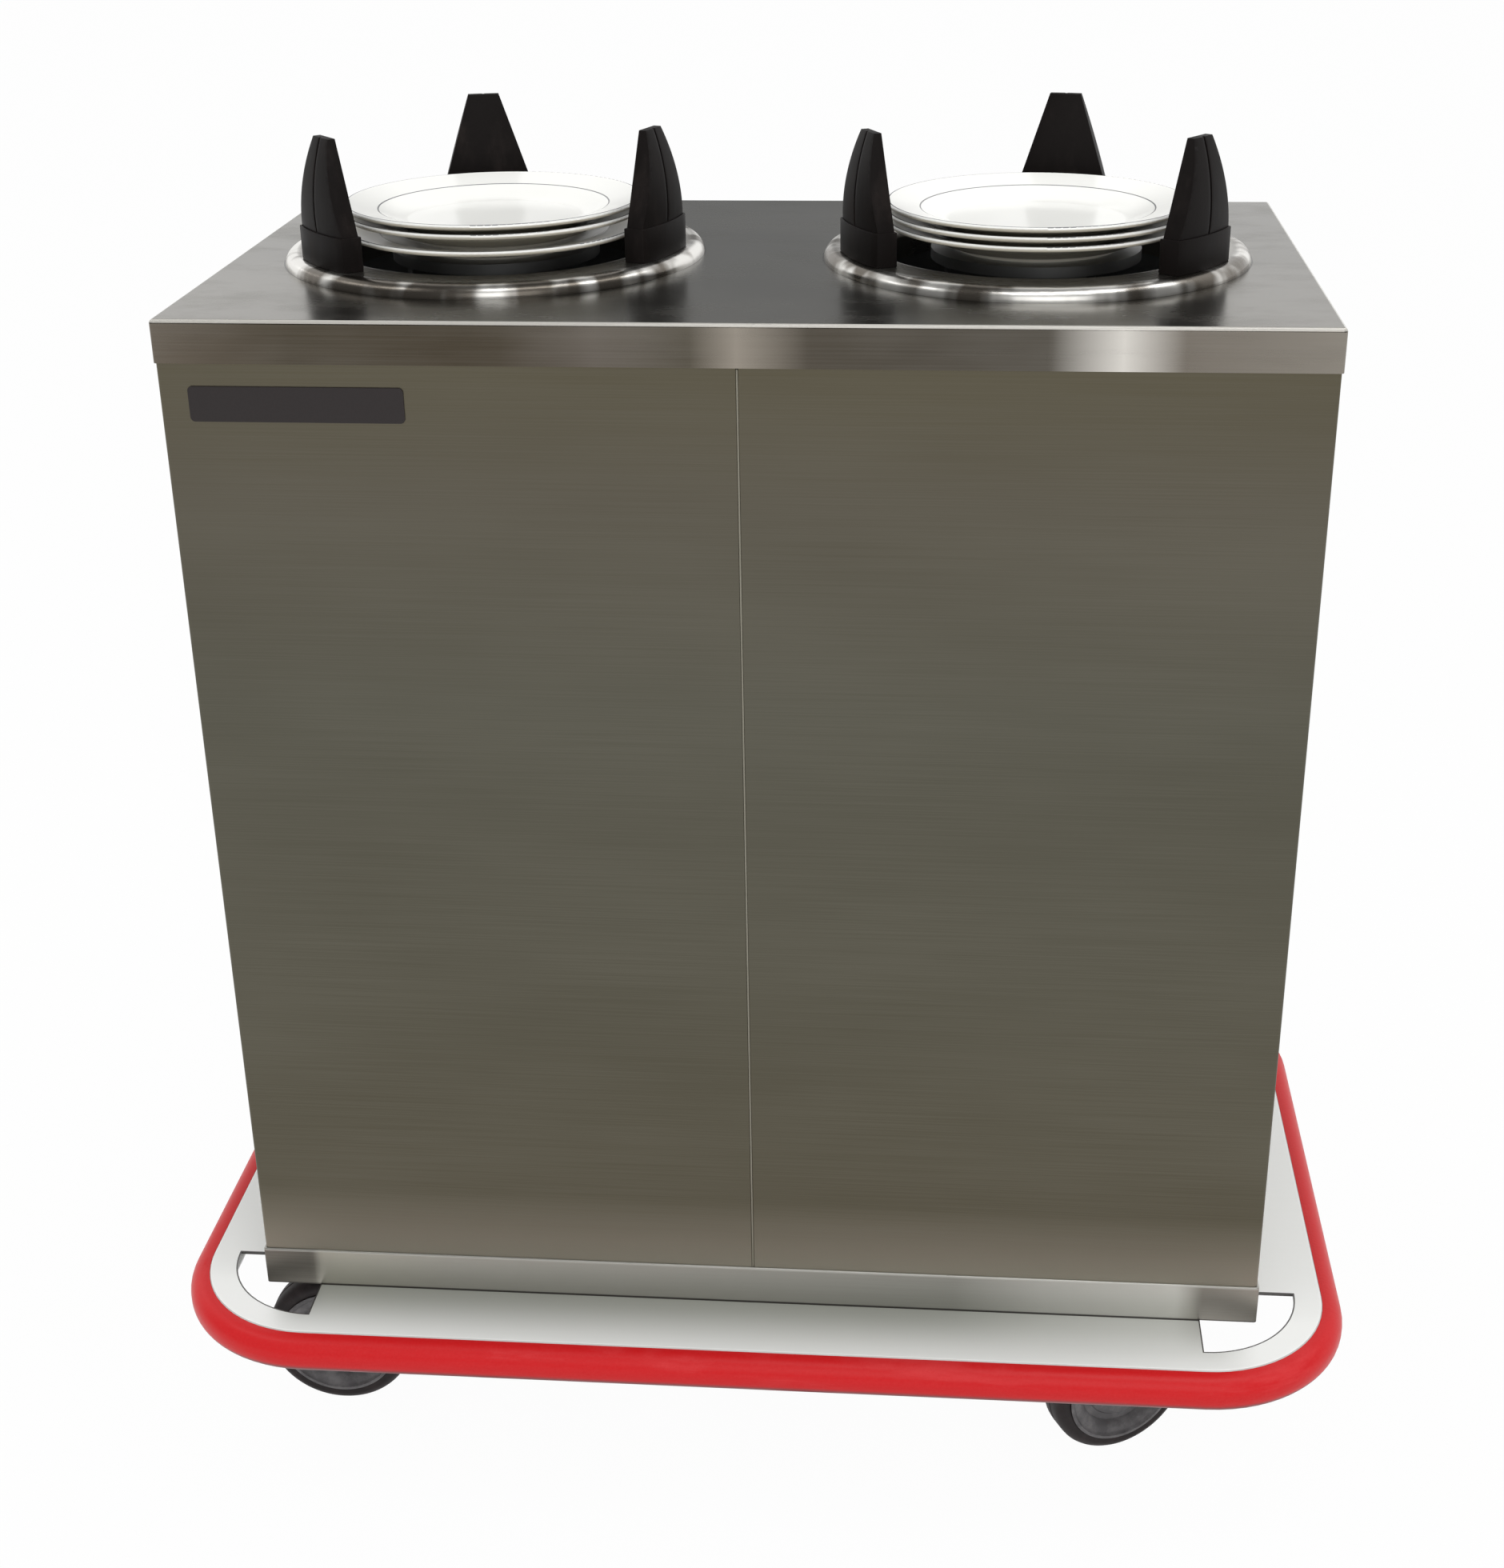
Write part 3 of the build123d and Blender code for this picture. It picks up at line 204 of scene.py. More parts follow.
floor_size = 60.0
floor_white_share = 0.97
bpy.ops.mesh.primitive_plane_add(size=floor_size)
floor = bpy.context.object
floor.name = "studio_floor"
floor_finish = Finish("studio_floor", {"Roughness": 0.9, "Base Color": paint(236, 236, 236)})
floor_camera, floor_glossy, floor_through = [
    floor_finish.node("ShaderNodeLightPath", {}, {}, output=ray)
    for ray in ("Is Camera Ray", "Is Glossy Ray", "Is Transmission Ray")]
floor_white = floor_finish.node("ShaderNodeEmission", {}, {"Color": (1, 1, 1, 1), "Strength": 1.0})
floor_lit = Wire(floor_finish, floor_finish.shader.outputs[0])
floor_mix = floor_finish.node("ShaderNodeMixShader", {}, {
    0: (floor_camera + floor_glossy + floor_through) * floor_white_share,
    1: floor_lit, 2: floor_white})
floor_finish.tree.links.new(
    floor_mix.socket, floor_finish.tree.nodes["Material Output"].inputs["Surface"])
floor.data.materials.append(floor_finish.material)

# The room: even air light, a pale wall behind with a dimmer doorway in it, a dark ceiling, and
# seven square ceiling panels, whose reflections stand as separate glints round the collars.
room_light = 0.72
ceiling_tone, doorway_tone = 0.16, 0.35
wall_rise, wall_side, doorway_head, doorway_sides = (0.92, 0.6), (0.0, 0.4), (0.5, 0.3), (0.2, 0.06)
doorway_x = -0.09
room = bpy.data.worlds.new("studio_room")
room.use_nodes = True
bpy.context.scene.world = room
air = Sheet(room.node_tree)
direction = air.node("ShaderNodeTexCoord", {}, {}, output="Generated")
sideways, backward, upward = [
    air.node("ShaderNodeSeparateXYZ", {}, {0: direction}, output=axis) for axis in range(3)]
wall = air.step(upward, *wall_rise) * air.step(backward, *wall_side)
doorway = (air.step(abs(sideways - doorway_x), *doorway_sides)
           * air.step(upward, *doorway_head))
mirrored = ceiling_tone + wall * (1 - ceiling_tone - (1 - doorway_tone) * doorway)
air_camera, air_glossy, air_through = [
    air.node("ShaderNodeLightPath", {}, {}, output=ray)
    for ray in ("Is Camera Ray", "Is Glossy Ray", "Is Transmission Ray")]
brightness = (room_light + air_camera * (1 - room_light)
              + (air_glossy + air_through) * (mirrored - room_light))
air.tree.nodes["Background"].inputs["Color"].default_value = (1, 1, 1, 1)
air.tree.links.new(brightness.socket, air.tree.nodes["Background"].inputs["Strength"])

collar_low, collar_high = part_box("left_collar")
collar_reach = (collar_high.x - collar_low.x) / 2
unit_x = {"left": collar_low.x + collar_reach, "right": -collar_low.x - collar_reach}
deck_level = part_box("top_deck")[1].z
panel_power, panel_side, panel_rise = 3.6, 0.6, 1.7
for across, along in ((-1.25, -0.51), (-2.0, 0.08), (-3.5, 2.1), (0.23, -0.76), (0.86, -0.465),
                      (1.17, -0.19), (1.63, 0.456)):
    bpy.ops.object.light_add(
        type="AREA", location=(unit_x["left"] + across, along, deck_level + panel_rise))
    bpy.context.object.data.size = panel_side
    bpy.context.object.data.energy = panel_power

# The key lamp: one broad soft lamp over the photographer's shoulder, for the upright faces.
key_place, key_tilt, key_turn = (0.6, -3.2, 2.6), math.radians(62), math.radians(10)
key_side, key_power = 2.4, 24
bpy.ops.object.light_add(type="AREA", location=key_place, rotation=(key_tilt, 0, key_turn))
bpy.context.object.data.size = key_side
bpy.context.object.data.energy = key_power


# Casters: four swivel casters with forks of pressed steel, grey moulded wheel
# centres and dark rubber tyres. Each fork turns on a plated ball race under a top plate. The forks'
# near-black brown is painted shade, for the shade that falls on them under the base deck.


def dress(finish, *names):
    """Gives CAD nodes their finish, in their own material slots."""
    for name in names:
        for holder in nodes[name].material_slots:
            holder.material = finish.material


def settle(piece, finish, body, slot, *stood_for):
    """A new piece gets its finish and its body, and the nodes that it stands for are hidden."""
    piece.data.materials.clear()
    piece.data.materials.append(finish.material)
    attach(piece, body)
    if stood_for:
        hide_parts(*stood_for)


def smooth(piece, degrees=35.0):
    bpy.ops.object.select_all(action="DESELECT")
    piece.select_set(True)
    bpy.context.view_layer.objects.active = piece
    bpy.ops.object.shade_smooth_by_angle(angle=math.radians(degrees))


def turned(name, section, steps):
    """A piece turned about +Z at the origin from a closed section of (radius, height) points."""
    bpy.ops.mesh.primitive_circle_add(vertices=len(section))
    piece = bpy.context.object
    piece.name = name
    for vertex, (radius, height) in zip(piece.data.vertices, section):
        vertex.co = (radius, 0, height)
    bpy.ops.object.mode_set(mode="EDIT")
    bpy.ops.mesh.select_all(action="SELECT")
    bpy.ops.mesh.spin(steps=steps, angle=2 * math.pi, center=(0, 0, 0), axis=(0, 0, 1))
    bpy.ops.mesh.select_all(action="SELECT")
    bpy.ops.mesh.remove_doubles(threshold=1e-6)
    bpy.ops.mesh.normals_make_consistent(inside=False)
    bpy.ops.object.mode_set(mode="OBJECT")
    smooth(piece)
    return piece


def copied(piece, name, place):
    """A copy with its own mesh, moved by a matrix that goes into the mesh."""
    made = bpy.data.objects.new(name, piece.data.copy())
    bpy.context.scene.collection.objects.link(made)
    made.data.transform(place)
    return made


def softened(node, name, width, segments=2):
    """A node's solid with its loose triangles merged and its sharp edges rounded."""
    bpy.ops.object.select_all(action="DESELECT")
    piece = bpy.data.objects.new(name, nodes[node].data.copy())
    bpy.context.scene.collection.objects.link(piece)
    piece.select_set(True)
    bpy.context.view_layer.objects.active = piece
    bpy.ops.object.mode_set(mode="EDIT")
    bpy.ops.mesh.select_all(action="SELECT")
    bpy.ops.mesh.customdata_custom_splitnormals_clear()
    bpy.ops.mesh.remove_doubles(threshold=2e-6)
    bpy.ops.mesh.dissolve_limited(angle_limit=math.radians(1.0))
    bpy.ops.object.mode_set(mode="OBJECT")
    rounding = piece.modifiers.new("rounding", "BEVEL")
    rounding.width = width
    rounding.segments = segments
    rounding.limit_method = "ANGLE"
    rounding.angle_limit = math.radians(32)
    bpy.ops.object.modifier_apply(modifier=rounding.name)
    smooth(piece)
    return piece


zinc = Finish("zinc_plate", {"Metallic": 1.0, "Roughness": 0.34})
zinc_cloud = zinc.noise(zinc.place, 14.0, 4.0, 0.6)
zinc.vary({"Base Color": zinc.mix(zinc_cloud, paint(148, 150, 152), paint(176, 177, 176)),
           "Roughness": 0.28 + 0.16 * zinc_cloud})

tyre_rubber = Finish("tyre_rubber", {"Roughness": 0.62, "Specular IOR Level": 0.35})
tyre_dust = tyre_rubber.noise(tyre_rubber.place, 60.0, 5.0, 0.65)
tyre_rubber.vary({
    "Base Color": tyre_rubber.mix(tyre_rubber.step(tyre_dust, 0.42, 0.75),
                                  paint(28, 19, 20), paint(46, 36, 36)),
    "Normal": tyre_rubber.bump(tyre_rubber.noise(tyre_rubber.place, 900.0, 2.0), 0.0002, 0.25)})

# Painted shade: the forks are coloured near-black brown for the shade under the base deck.
fork_steel = Finish("fork_steel", {"Metallic": 0.2, "Roughness": 0.36, "Specular IOR Level": 0.3})
fork_shade_mottle = fork_steel.noise(fork_steel.place, 22.0, 4.0, 0.6)
fork_steel.vary({"Base Color": fork_steel.mix(fork_shade_mottle, paint(18, 9, 9), paint(38, 26, 24)),
                 "Roughness": 0.3 + 0.2 * fork_shade_mottle})

hub_plastic = Finish("hub_plastic", {"Roughness": 0.45})
hub_wear = hub_plastic.noise(hub_plastic.place, 38.0, 5.0, 0.7)
hub_plastic.vary({
    "Base Color": hub_plastic.mix(hub_plastic.step(hub_wear, 0.35, 0.72),
                                  paint(76, 73, 75), paint(116, 113, 114)),
    "Normal": hub_plastic.bump(hub_plastic.noise(hub_plastic.place, 700.0), 0.0001, 0.3)})

# One wheel lies flat at the origin; a copy is stood up on each axle.
wheel_radius, tyre_bore, wheel_steps = 0.0635, 0.048, 96
shoulder_bend, shoulder_centre = 0.0085, -0.0072
tyre_section = [(tyre_bore, -0.0134), (0.0500, -0.0150), (0.0530, -0.0154), (0.0556, -0.0154)]
tyre_section += [(wheel_radius - shoulder_bend * (1 - math.sin(turn)),
                  shoulder_centre - shoulder_bend * math.cos(turn))
                 for turn in [math.radians(angle) for angle in range(10, 90, 16)]]
tyre_section += [(wheel_radius, -0.0062), (wheel_radius, -0.0016), (wheel_radius - 0.0006, -0.0009)]
tyre_section += [(radius, -height) for radius, height in reversed(tyre_section)]
tyre = turned("tyre_pattern", tyre_section, wheel_steps)
hub_section = [
    (0.00505, 0.0175), (0.0132, 0.0175), (0.0146, 0.0168), (0.0160, 0.0120), (0.0185, 0.0104),
    (0.0300, 0.0098), (0.0312, 0.0088), (0.0368, 0.0088), (0.0392, 0.0116), (0.0432, 0.0134),
    (0.0462, 0.0142), (0.0476, 0.0150), (0.0486, 0.0166), (0.0508, 0.0166), (0.0514, 0.0162),
    (0.0511, 0.0158), (0.0495, 0.0159), (0.0478, 0.0136)]
hub_section += [(radius, -height) for radius, height in reversed(hub_section)]
hub = turned("hub_pattern", hub_section, wheel_steps)

for place in ("front_left", "front_right", "back_left", "back_right"):
    wheel_joint = next(joint for joint in frame["joints"] if joint["name"] == f"wheel_{place}_spin")
    upright = Vector(wheel_joint["axis"]).to_track_quat("Z", "Y").to_matrix().to_4x4()
    stand = Matrix.Translation(Vector(wheel_joint["pos_m"])) @ upright
    settle(copied(tyre, f"tyre_{place}", stand), tyre_rubber,
           f"wheel_{place}", "tyre_dark", f"caster_tyre_{place}")
    settle(copied(hub, f"hub_{place}", stand), hub_plastic,
           f"wheel_{place}", "hub_grey", f"caster_hub_{place}")
    settle(softened(f"caster_fork_{place}", f"fork_{place}", 0.0006), fork_steel,
           f"swivel_{place}", "plated_steel", f"caster_fork_{place}")
    dress(zinc, f"caster_axle_{place}")
bpy.data.objects.remove(tyre)
bpy.data.objects.remove(hub)
dress(zinc, "caster_plates", "caster_bolts")

# Base deck: an upside-down pan of thick stainless sheet, bright rolled, with a quarter-round
# hole pressed out of each corner. Painted shade lines the holes' edges, the deck's rim at the
# bumper and the joint with the cabinet, and the strip in front is painted darker, a painted
# reflection of the dull cabinet, darker the nearer it is.
base_sheet = Finish("base_sheet", {"Roughness": 0.3})
base_scuff = base_sheet.noise(
    base_sheet.vector(base_sheet.x * 6, base_sheet.y * 260, base_sheet.z * 260), 1.0, 3.0, 0.6)
base_cloud = base_sheet.noise(base_sheet.place, 5.0, 3.0)
base_high, trim_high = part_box("base_deck")[1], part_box("bottom_trim")[1]
corner_bend, corner_hole, outline = 0.1035, 0.08, 0.0011
cut_shade, rim_shade = 0.85, 0.4
shade_ends, shade_right, shade_least = (0.405, 0.37), (0.35, 0.1), 0.72
bend_x, bend_y = base_high.x - corner_bend, base_high.y - corner_bend
base_x, base_y = abs(base_sheet.x), abs(base_sheet.y)
from_bend = ((base_x - bend_x) ** 2 + (base_y - bend_y) ** 2) ** 0.5
# Painted shade: thin dark lines round the corner holes, along the deck's rim and along the foot of
# the trim.
cut_edge = ((base_x > bend_x - outline) * (base_y > bend_y - outline)
            * (from_bend < corner_hole + outline))
rim_edge = ((base_x > base_high.x - outline) * (base_y < bend_y)
            + (base_y > base_high.y - outline) * (base_x < bend_x)
            + (base_x > bend_x) * (base_y > bend_y) * (from_bend > corner_bend - outline))
trim_edge = (base_x < trim_high.x + outline) * (base_y < trim_high.y + outline)
base_line_shade = base_sheet.step(
    cut_shade * cut_edge + cut_shade * trim_edge + rim_shade * rim_edge, 0.0, 1.0)
# Painted reflection and shade: the front strip is painted darker, mirroring the dull cabinet,
# darkest next to it.
in_shade = (base_sheet.step(base_x, *shade_ends)
            * base_sheet.step(base_y, base_high.y + 0.008, trim_high.y - 0.002)
            * (shade_least + (1 - shade_least) * base_sheet.step(base_sheet.x, *shade_right)))
base_unshaded = base_sheet.mix(0.6 * base_scuff + 0.4 * base_cloud,
                            paint(250, 251, 248), paint(254, 254, 252))
base_tone = base_sheet.mix(in_shade, base_unshaded, paint(176, 178, 170))
base_sheet.vary({
    "Base Color": base_sheet.mix(base_line_shade, base_tone, paint(58, 54, 52)),
    "Metallic": 0.02 + 0.4 * in_shade,
    "Roughness": 0.27 + 0.05 * base_scuff,
    "Normal": base_sheet.bump(base_cloud, 0.0004, 0.05)})
dress(base_sheet, "base_deck")

# Bumper: one extruded red vinyl loop, pressed over the base deck's flange. Its face carries paler,
# rougher mottled patches, painted highlights, and it is painted darker towards its foot, painted
# shade.
vinyl = Finish("bumper_vinyl", {"Roughness": 0.42, "Specular IOR Level": 0.25})
vinyl_grain = vinyl.noise(vinyl.place, 420.0, 3.0, 0.6)
# Painted highlights: paler mottled patches on the face, also a little rougher.
vinyl_highlight_smear = vinyl.noise(
    vinyl.vector(vinyl.x * 9, vinyl.y * 9, vinyl.z * 70), 1.0, 4.0, 0.65)
vinyl_highlight_patch = vinyl.step(vinyl_highlight_smear, 0.52, 0.72)
bumper_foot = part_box("bumper")[0].z
# Painted shade: the bumper is darker towards its foot.
under_shade_top, under_shade_full = 0.012, 0.006
vinyl_under_shade = vinyl.step(vinyl.z, bumper_foot + under_shade_top, bumper_foot + under_shade_full)
vinyl_face = vinyl.mix(0.3 * vinyl_highlight_patch + 0.25 * vinyl_grain,
                       paint(212, 16, 22), paint(228, 76, 78))
vinyl.vary({
    "Base Color": vinyl.mix(vinyl_under_shade * 0.85, vinyl_face, paint(96, 10, 14)),
    "Roughness": 0.36 + 0.2 * vinyl_highlight_patch,
    "Normal": vinyl.bump(vinyl_grain, 0.0003, 0.35)})
dress(vinyl, "bumper")

# Cabinet frame and heater: angle iron, folded brackets and the control box in plated steel, and
# one sheathed rod looped under both wells, its sheath browned by heat.
dress(zinc, "cabinet_frame", "control_box", "heater_brackets")
sheath = Finish("element_sheath", {"Metallic": 0.8, "Roughness": 0.55})
heat_tint = sheath.noise(sheath.place, 22.0, 4.0, 0.6)
sheath.vary({"Base Color": sheath.mix(heat_tint, paint(66, 58, 54), paint(104, 84, 70)),
             "Roughness": 0.45 + 0.2 * heat_tint})
dress(sheath, "heating_element")

# Cabinet shells and service panel: satin stainless sheet with its grain run level, each shell
# folded round half of the front and one end. Its tone up the face is a painted reflection,
# brightest at its foot, where it mirrors the pale base deck.
shell_low, shell_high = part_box("left_shell")
satin = Finish("satin_sheet", {"Metallic": 1.0, "Roughness": 0.4})
satin_height = (satin.z - shell_low.z) / (shell_high.z - shell_low.z)
# Painted reflection: the tone ramp up the face, lightest at the foot over the pale base deck.
satin_reflection_tone = satin.node("ShaderNodeValToRGB", {"stops": [
    (0.03, paint(154, 150, 137)), (0.08, paint(118, 113, 100)), (0.12, paint(90, 85, 71)),
    (0.4, paint(91, 88, 76)), (0.65, paint(93, 91, 80)), (0.85, paint(98, 93, 81)),
    (0.98, paint(100, 94, 77))]}, {0: satin_height})
satin_grain = satin.noise(satin.vector(satin.x * 5, satin.y * 5, satin.z * 950), 1.0, 3.0, 0.65)
satin_cloud = satin.noise(satin.vector(satin.x * 2.2, satin.y * 2.2, satin.z * 7), 1.0, 3.0, 0.55)
satin_shade = 0.5 * satin_grain + 0.5 * satin_cloud
satin.vary({
    "Base Color": satin.mix(satin.step(satin_shade, 0.3, 0.75) * 0.22,
                            satin_reflection_tone, paint(140, 137, 126)),
    "Roughness": 0.32 + 0.16 * satin_grain,
    "Normal": satin.bump(satin_grain, 0.0001, 0.1)})
dress(satin, "left_shell", "right_shell", "back_panel")

# Front seam: a fine pale bead closes the gap between the two shells' folded edges, sunk just
# below the faces; its pale colour is a painted highlight of those folded edges. It runs from behind
# the foot trim up to under the deck's lip.
# Painted highlight: the bead's pale colour stands for the highlight on the shells' folded edges.
seam_highlight = Finish("seam_highlight_bead", {"Roughness": 0.4})
seam_highlight_streak = seam_highlight.noise(
    seam_highlight.vector(seam_highlight.x * 300, seam_highlight.y * 300, seam_highlight.z * 25), 1.0, 3.0)
seam_highlight.vary({"Base Color": seam_highlight.mix(seam_highlight_streak, paint(122, 118, 103), paint(150, 146, 132))})
seam_width, seam_depth, seam_sunk = 0.0014, 0.004, 0.00035
seam_bottom, seam_top = trim_high.z - 0.03, deck_level - 0.032
bpy.ops.mesh.primitive_plane_add(size=1)
seam = bpy.context.object
seam.name = "seam_bead"
seam.data.transform(
    Matrix.Translation((0, shell_low.y + seam_sunk + seam_depth / 2, seam_bottom))
    @ Matrix.Diagonal((seam_width, seam_depth, 1, 1)))
bpy.ops.object.mode_set(mode="EDIT")
bpy.ops.mesh.select_all(action="SELECT")
bpy.ops.mesh.extrude_region_move(
    TRANSFORM_OT_translate={"value": (0, 0, seam_top - seam_bottom)})
bpy.ops.mesh.select_all(action="SELECT")
bpy.ops.mesh.normals_make_consistent(inside=False)
bpy.ops.object.mode_set(mode="OBJECT")
bead_round = seam.modifiers.new("bead_round", "BEVEL")
bead_round.width = 0.0004
bead_round.segments = 3
bpy.ops.object.modifier_apply(modifier=bead_round.name)
smooth(seam)
settle(seam, seam_highlight, "cabinet", "stainless_sheet")

# Foot trim: a folded stainless band, tack-welded round the cabinet's foot. Its tone along its
# length is a painted reflection: duller at the ends, where it mirrors the dark corner holes, and
# brighter in a stretch to the right. Its upper edge carries a painted highlight, and a line of
# painted shade runs along its foot.
trim_steel = Finish("trim_steel", {"Metallic": 0.85, "Roughness": 0.32})
trim_grain = trim_steel.noise(
    trim_steel.vector(trim_steel.x * 5, trim_steel.y * 5, trim_steel.z * 900), 1.0, 3.0, 0.6)
# Painted reflection: the tone along the trim, dark at the ends where it mirrors the corner holes.
trim_reflection_tone = trim_steel.node("ShaderNodeValToRGB", {"stops": [
    (0.05, paint(104, 99, 90)), (0.06, paint(200, 197, 184)), (0.2, paint(186, 183, 176)),
    (0.5, paint(166, 164, 158)), (0.7, paint(150, 149, 143)), (0.79, paint(190, 189, 184)),
    (0.92, paint(212, 211, 205)), (0.945, paint(148, 143, 134))]},
    {0: trim_steel.x / (2 * trim_high.x) + 0.5})
lip_start, lip_full, foot_start, foot_full = 0.0025, 0.0012, 0.0016, 0.0006
# Painted highlight along the top edge, and painted shade along the foot.
trim_lip_highlight = trim_steel.step(trim_steel.z, trim_high.z - lip_start, trim_high.z - lip_full)
trim_foot_shade = trim_steel.step(trim_steel.z, base_high.z + foot_start, base_high.z + foot_full)
trim_unshaded = trim_steel.mix(trim_grain * 0.25 + trim_lip_highlight * 0.5, trim_reflection_tone, paint(205, 204, 198))
trim_steel.vary({
    "Base Color": trim_steel.mix(trim_foot_shade * 0.7, trim_unshaded, paint(58, 54, 52)),
    "Roughness": 0.26 + 0.16 * trim_grain})
dress(trim_steel, "bottom_trim")

# Nameplate: a small black anodised plate with rounded corners, glued on. It is left bare.
plate_black = Finish("plate_black", {"Roughness": 0.38, "Specular IOR Level": 0.4})
plate_speck = plate_black.noise(plate_black.place, 500.0, 2.0)
plate_black.vary({"Base Color": plate_black.mix(plate_speck, paint(30, 24, 24), paint(42, 34, 34)),
                  "Roughness": 0.34 + 0.1 * plate_speck})
dress(plate_black, "nameplate")

# Tubes and carriers: rolled, slotted wells and the welded carriers that rise and fall in them.
# Both are zinc-plated steel, clouded by heat and handling.
dress(zinc, "left_tube", "right_tube", "left_carrier", "right_carrier")

# Extension springs: close-wound wire coils, three round each tube, hooked by straight ends into
# the tube's flange and the carrier's arm. On the real unit they stretch between the two as the
# stack goes down; here each stays at one length, fixed in place.
wire_steel = Finish("spring_wire", {"Metallic": 1.0, "Roughness": 0.32})
wire_tint = wire_steel.noise(wire_steel.place, 90.0, 3.0)
wire_steel.vary({
    "Base Color": wire_steel.mix(wire_tint, paint(120, 120, 122), paint(160, 160, 160))})
spring_low, spring_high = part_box("left_springs")
wire_radius, coil_radius, spring_reach = 0.0012, 0.0053, 0.138
lower_stem, upper_stem = 0.02, 0.0175
upset_high, upset_spread, upset_rim = 0.002, 3.75, 0.0012
crown_high, crown_shrink = 0.0008, 0.7
coil_bottom, coil_top = spring_low.z + lower_stem, spring_high.z - upper_stem
coil_pitch = 2.06 * wire_radius
bpy.ops.mesh.primitive_circle_add(
    vertices=6, radius=wire_radius, location=(coil_radius, 0, coil_bottom),
    rotation=(math.pi / 2, 0, 0))
coil = bpy.context.object
bpy.ops.object.transform_apply(location=True, rotation=True, scale=True)
winding = coil.modifiers.new("winding", "SCREW")
winding.steps = winding.render_steps = 14
winding.screw_offset = coil_pitch
winding.iterations = int((coil_top - coil_bottom) / coil_pitch)
winding.use_merge_vertices = True
bpy.ops.object.modifier_apply(modifier=winding.name)

for end, way in ((coil_bottom, -1), (coil_top, 1)):
    # each end: a straight stretch of wire on the spring's axis, with an upset head beyond it
    bpy.ops.mesh.primitive_circle_add(
        vertices=10, radius=wire_radius, location=(0, 0, end), fill_type="NGON")
    stem = bpy.context.object
    bpy.ops.object.transform_apply(location=True)
    bpy.ops.object.mode_set(mode="EDIT")
    bpy.ops.mesh.select_all(action="SELECT")
    reach = (spring_low.z if way < 0 else spring_high.z) - end
    for radius_factor, rise in ((1.0, reach - way * upset_high), (upset_spread, 0.0),
                                (1.0, way * upset_rim), (crown_shrink, way * crown_high)):
        bpy.ops.mesh.extrude_region_move(TRANSFORM_OT_translate={"value": (0, 0, rise)})
        bpy.ops.transform.resize(value=(radius_factor, radius_factor, 1),
                                 center_override=(0, 0, end))
    bpy.ops.mesh.select_all(action="SELECT")
    bpy.ops.mesh.normals_make_consistent(inside=False)
    bpy.ops.object.mode_set(mode="OBJECT")
    smooth(stem)
    bpy.ops.object.select_all(action="DESELECT")
    stem.select_set(True)
    coil.select_set(True)
    bpy.context.view_layer.objects.active = coil
    bpy.ops.object.join()
smooth(coil, 60.0)
spring_turns = {"left": (71, 191, 311), "right": (53, 173, 293)}
for side, turns in spring_turns.items():
    for number, turn in enumerate(turns, 1):
        stand_x = unit_x[side] + spring_reach * math.cos(math.radians(turn))
        stand_y = spring_reach * math.sin(math.radians(turn))
        spring = copied(coil, f"{side}_spring_{number}",
                        Matrix.Translation((stand_x, stand_y, 0)))
        spring.data.materials.append(wire_steel.material)
        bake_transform(spring)
        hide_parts(f"{side}_springs")
bpy.data.objects.remove(coil)

# Top deck: a stainless pan with a turned-down lip, its grain run from end to end. Its tone is
# a painted reflection of the room: paler at the ends and front, darker between the collars, with
# bright and dark patches along the lip. Its folded edge carries a painted highlight, and a line of
# painted shade runs round each collar's foot.


def around(finish):
    """The distance from the nearer unit's axis."""
    off = abs(finish.x) - unit_x["right"]
    return (off * off + finish.y * finish.y) ** 0.5


deck_low, deck_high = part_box("top_deck")
deck_steel = Finish("deck_steel", {"Metallic": 1.0, "Roughness": 0.24})
deck_up = deck_steel.step(deck_steel.normal()[2], 0.5, 0.8)
deck_grain = deck_steel.noise(deck_steel.vector(
    deck_steel.x * 5, deck_steel.y * (5 + 900 * deck_up), deck_steel.z * 950), 1.0, 3.0, 0.65)
deck_cloud = deck_steel.noise(
    deck_steel.vector(deck_steel.x * 4, deck_steel.y * 4, deck_steel.z * 9), 1.0, 3.0, 0.55)
deck_rub = deck_steel.noise(
    deck_steel.vector(deck_steel.x * 14, deck_steel.y * 26, deck_steel.z * 90), 1.0, 4.0, 0.6)
# Painted reflection: the room's reflection on the top, pale at the ends and front, dark between the
# collars.
dark_reflection_middle, dark_reflection_reach, dark_reflection_depth = -0.02, (0.12, 0.36), (0.02, -0.2)
deck_reflection_ends = deck_steel.step(abs(deck_steel.x - dark_reflection_middle), *dark_reflection_reach)
deck_reflection_front = deck_steel.step(deck_steel.y, *dark_reflection_depth)
deck_pale_reflection = deck_steel.step(deck_reflection_ends * 0.62 + deck_reflection_front * 0.38, 0.0, 1.0)
deck_top_reflection = deck_steel.mix(deck_pale_reflection, paint(74, 74, 68), paint(124, 121, 114))
# Painted reflection: bright and dark patches along the lip.
deck_lip_reflection = deck_steel.node("ShaderNodeValToRGB", {"stops": [
    (0.0, paint(102, 93, 82)), (0.12, paint(72, 64, 51)), (0.3, paint(74, 66, 54)),
    (0.38, paint(102, 95, 87)), (0.46, paint(88, 82, 71)), (0.5, paint(152, 144, 133)),
    (0.56, paint(82, 76, 67)), (0.76, paint(82, 77, 69)), (0.82, paint(222, 218, 211)),
    (0.87, paint(120, 113, 104)), (1.0, paint(140, 134, 125))]},
    {0: (deck_steel.x - deck_low.x) / (deck_high.x - deck_low.x)})
deck_reflection_tone = deck_steel.mix(deck_up, deck_lip_reflection, deck_top_reflection)
deck_rim, foot_line = 0.0022, 0.0012
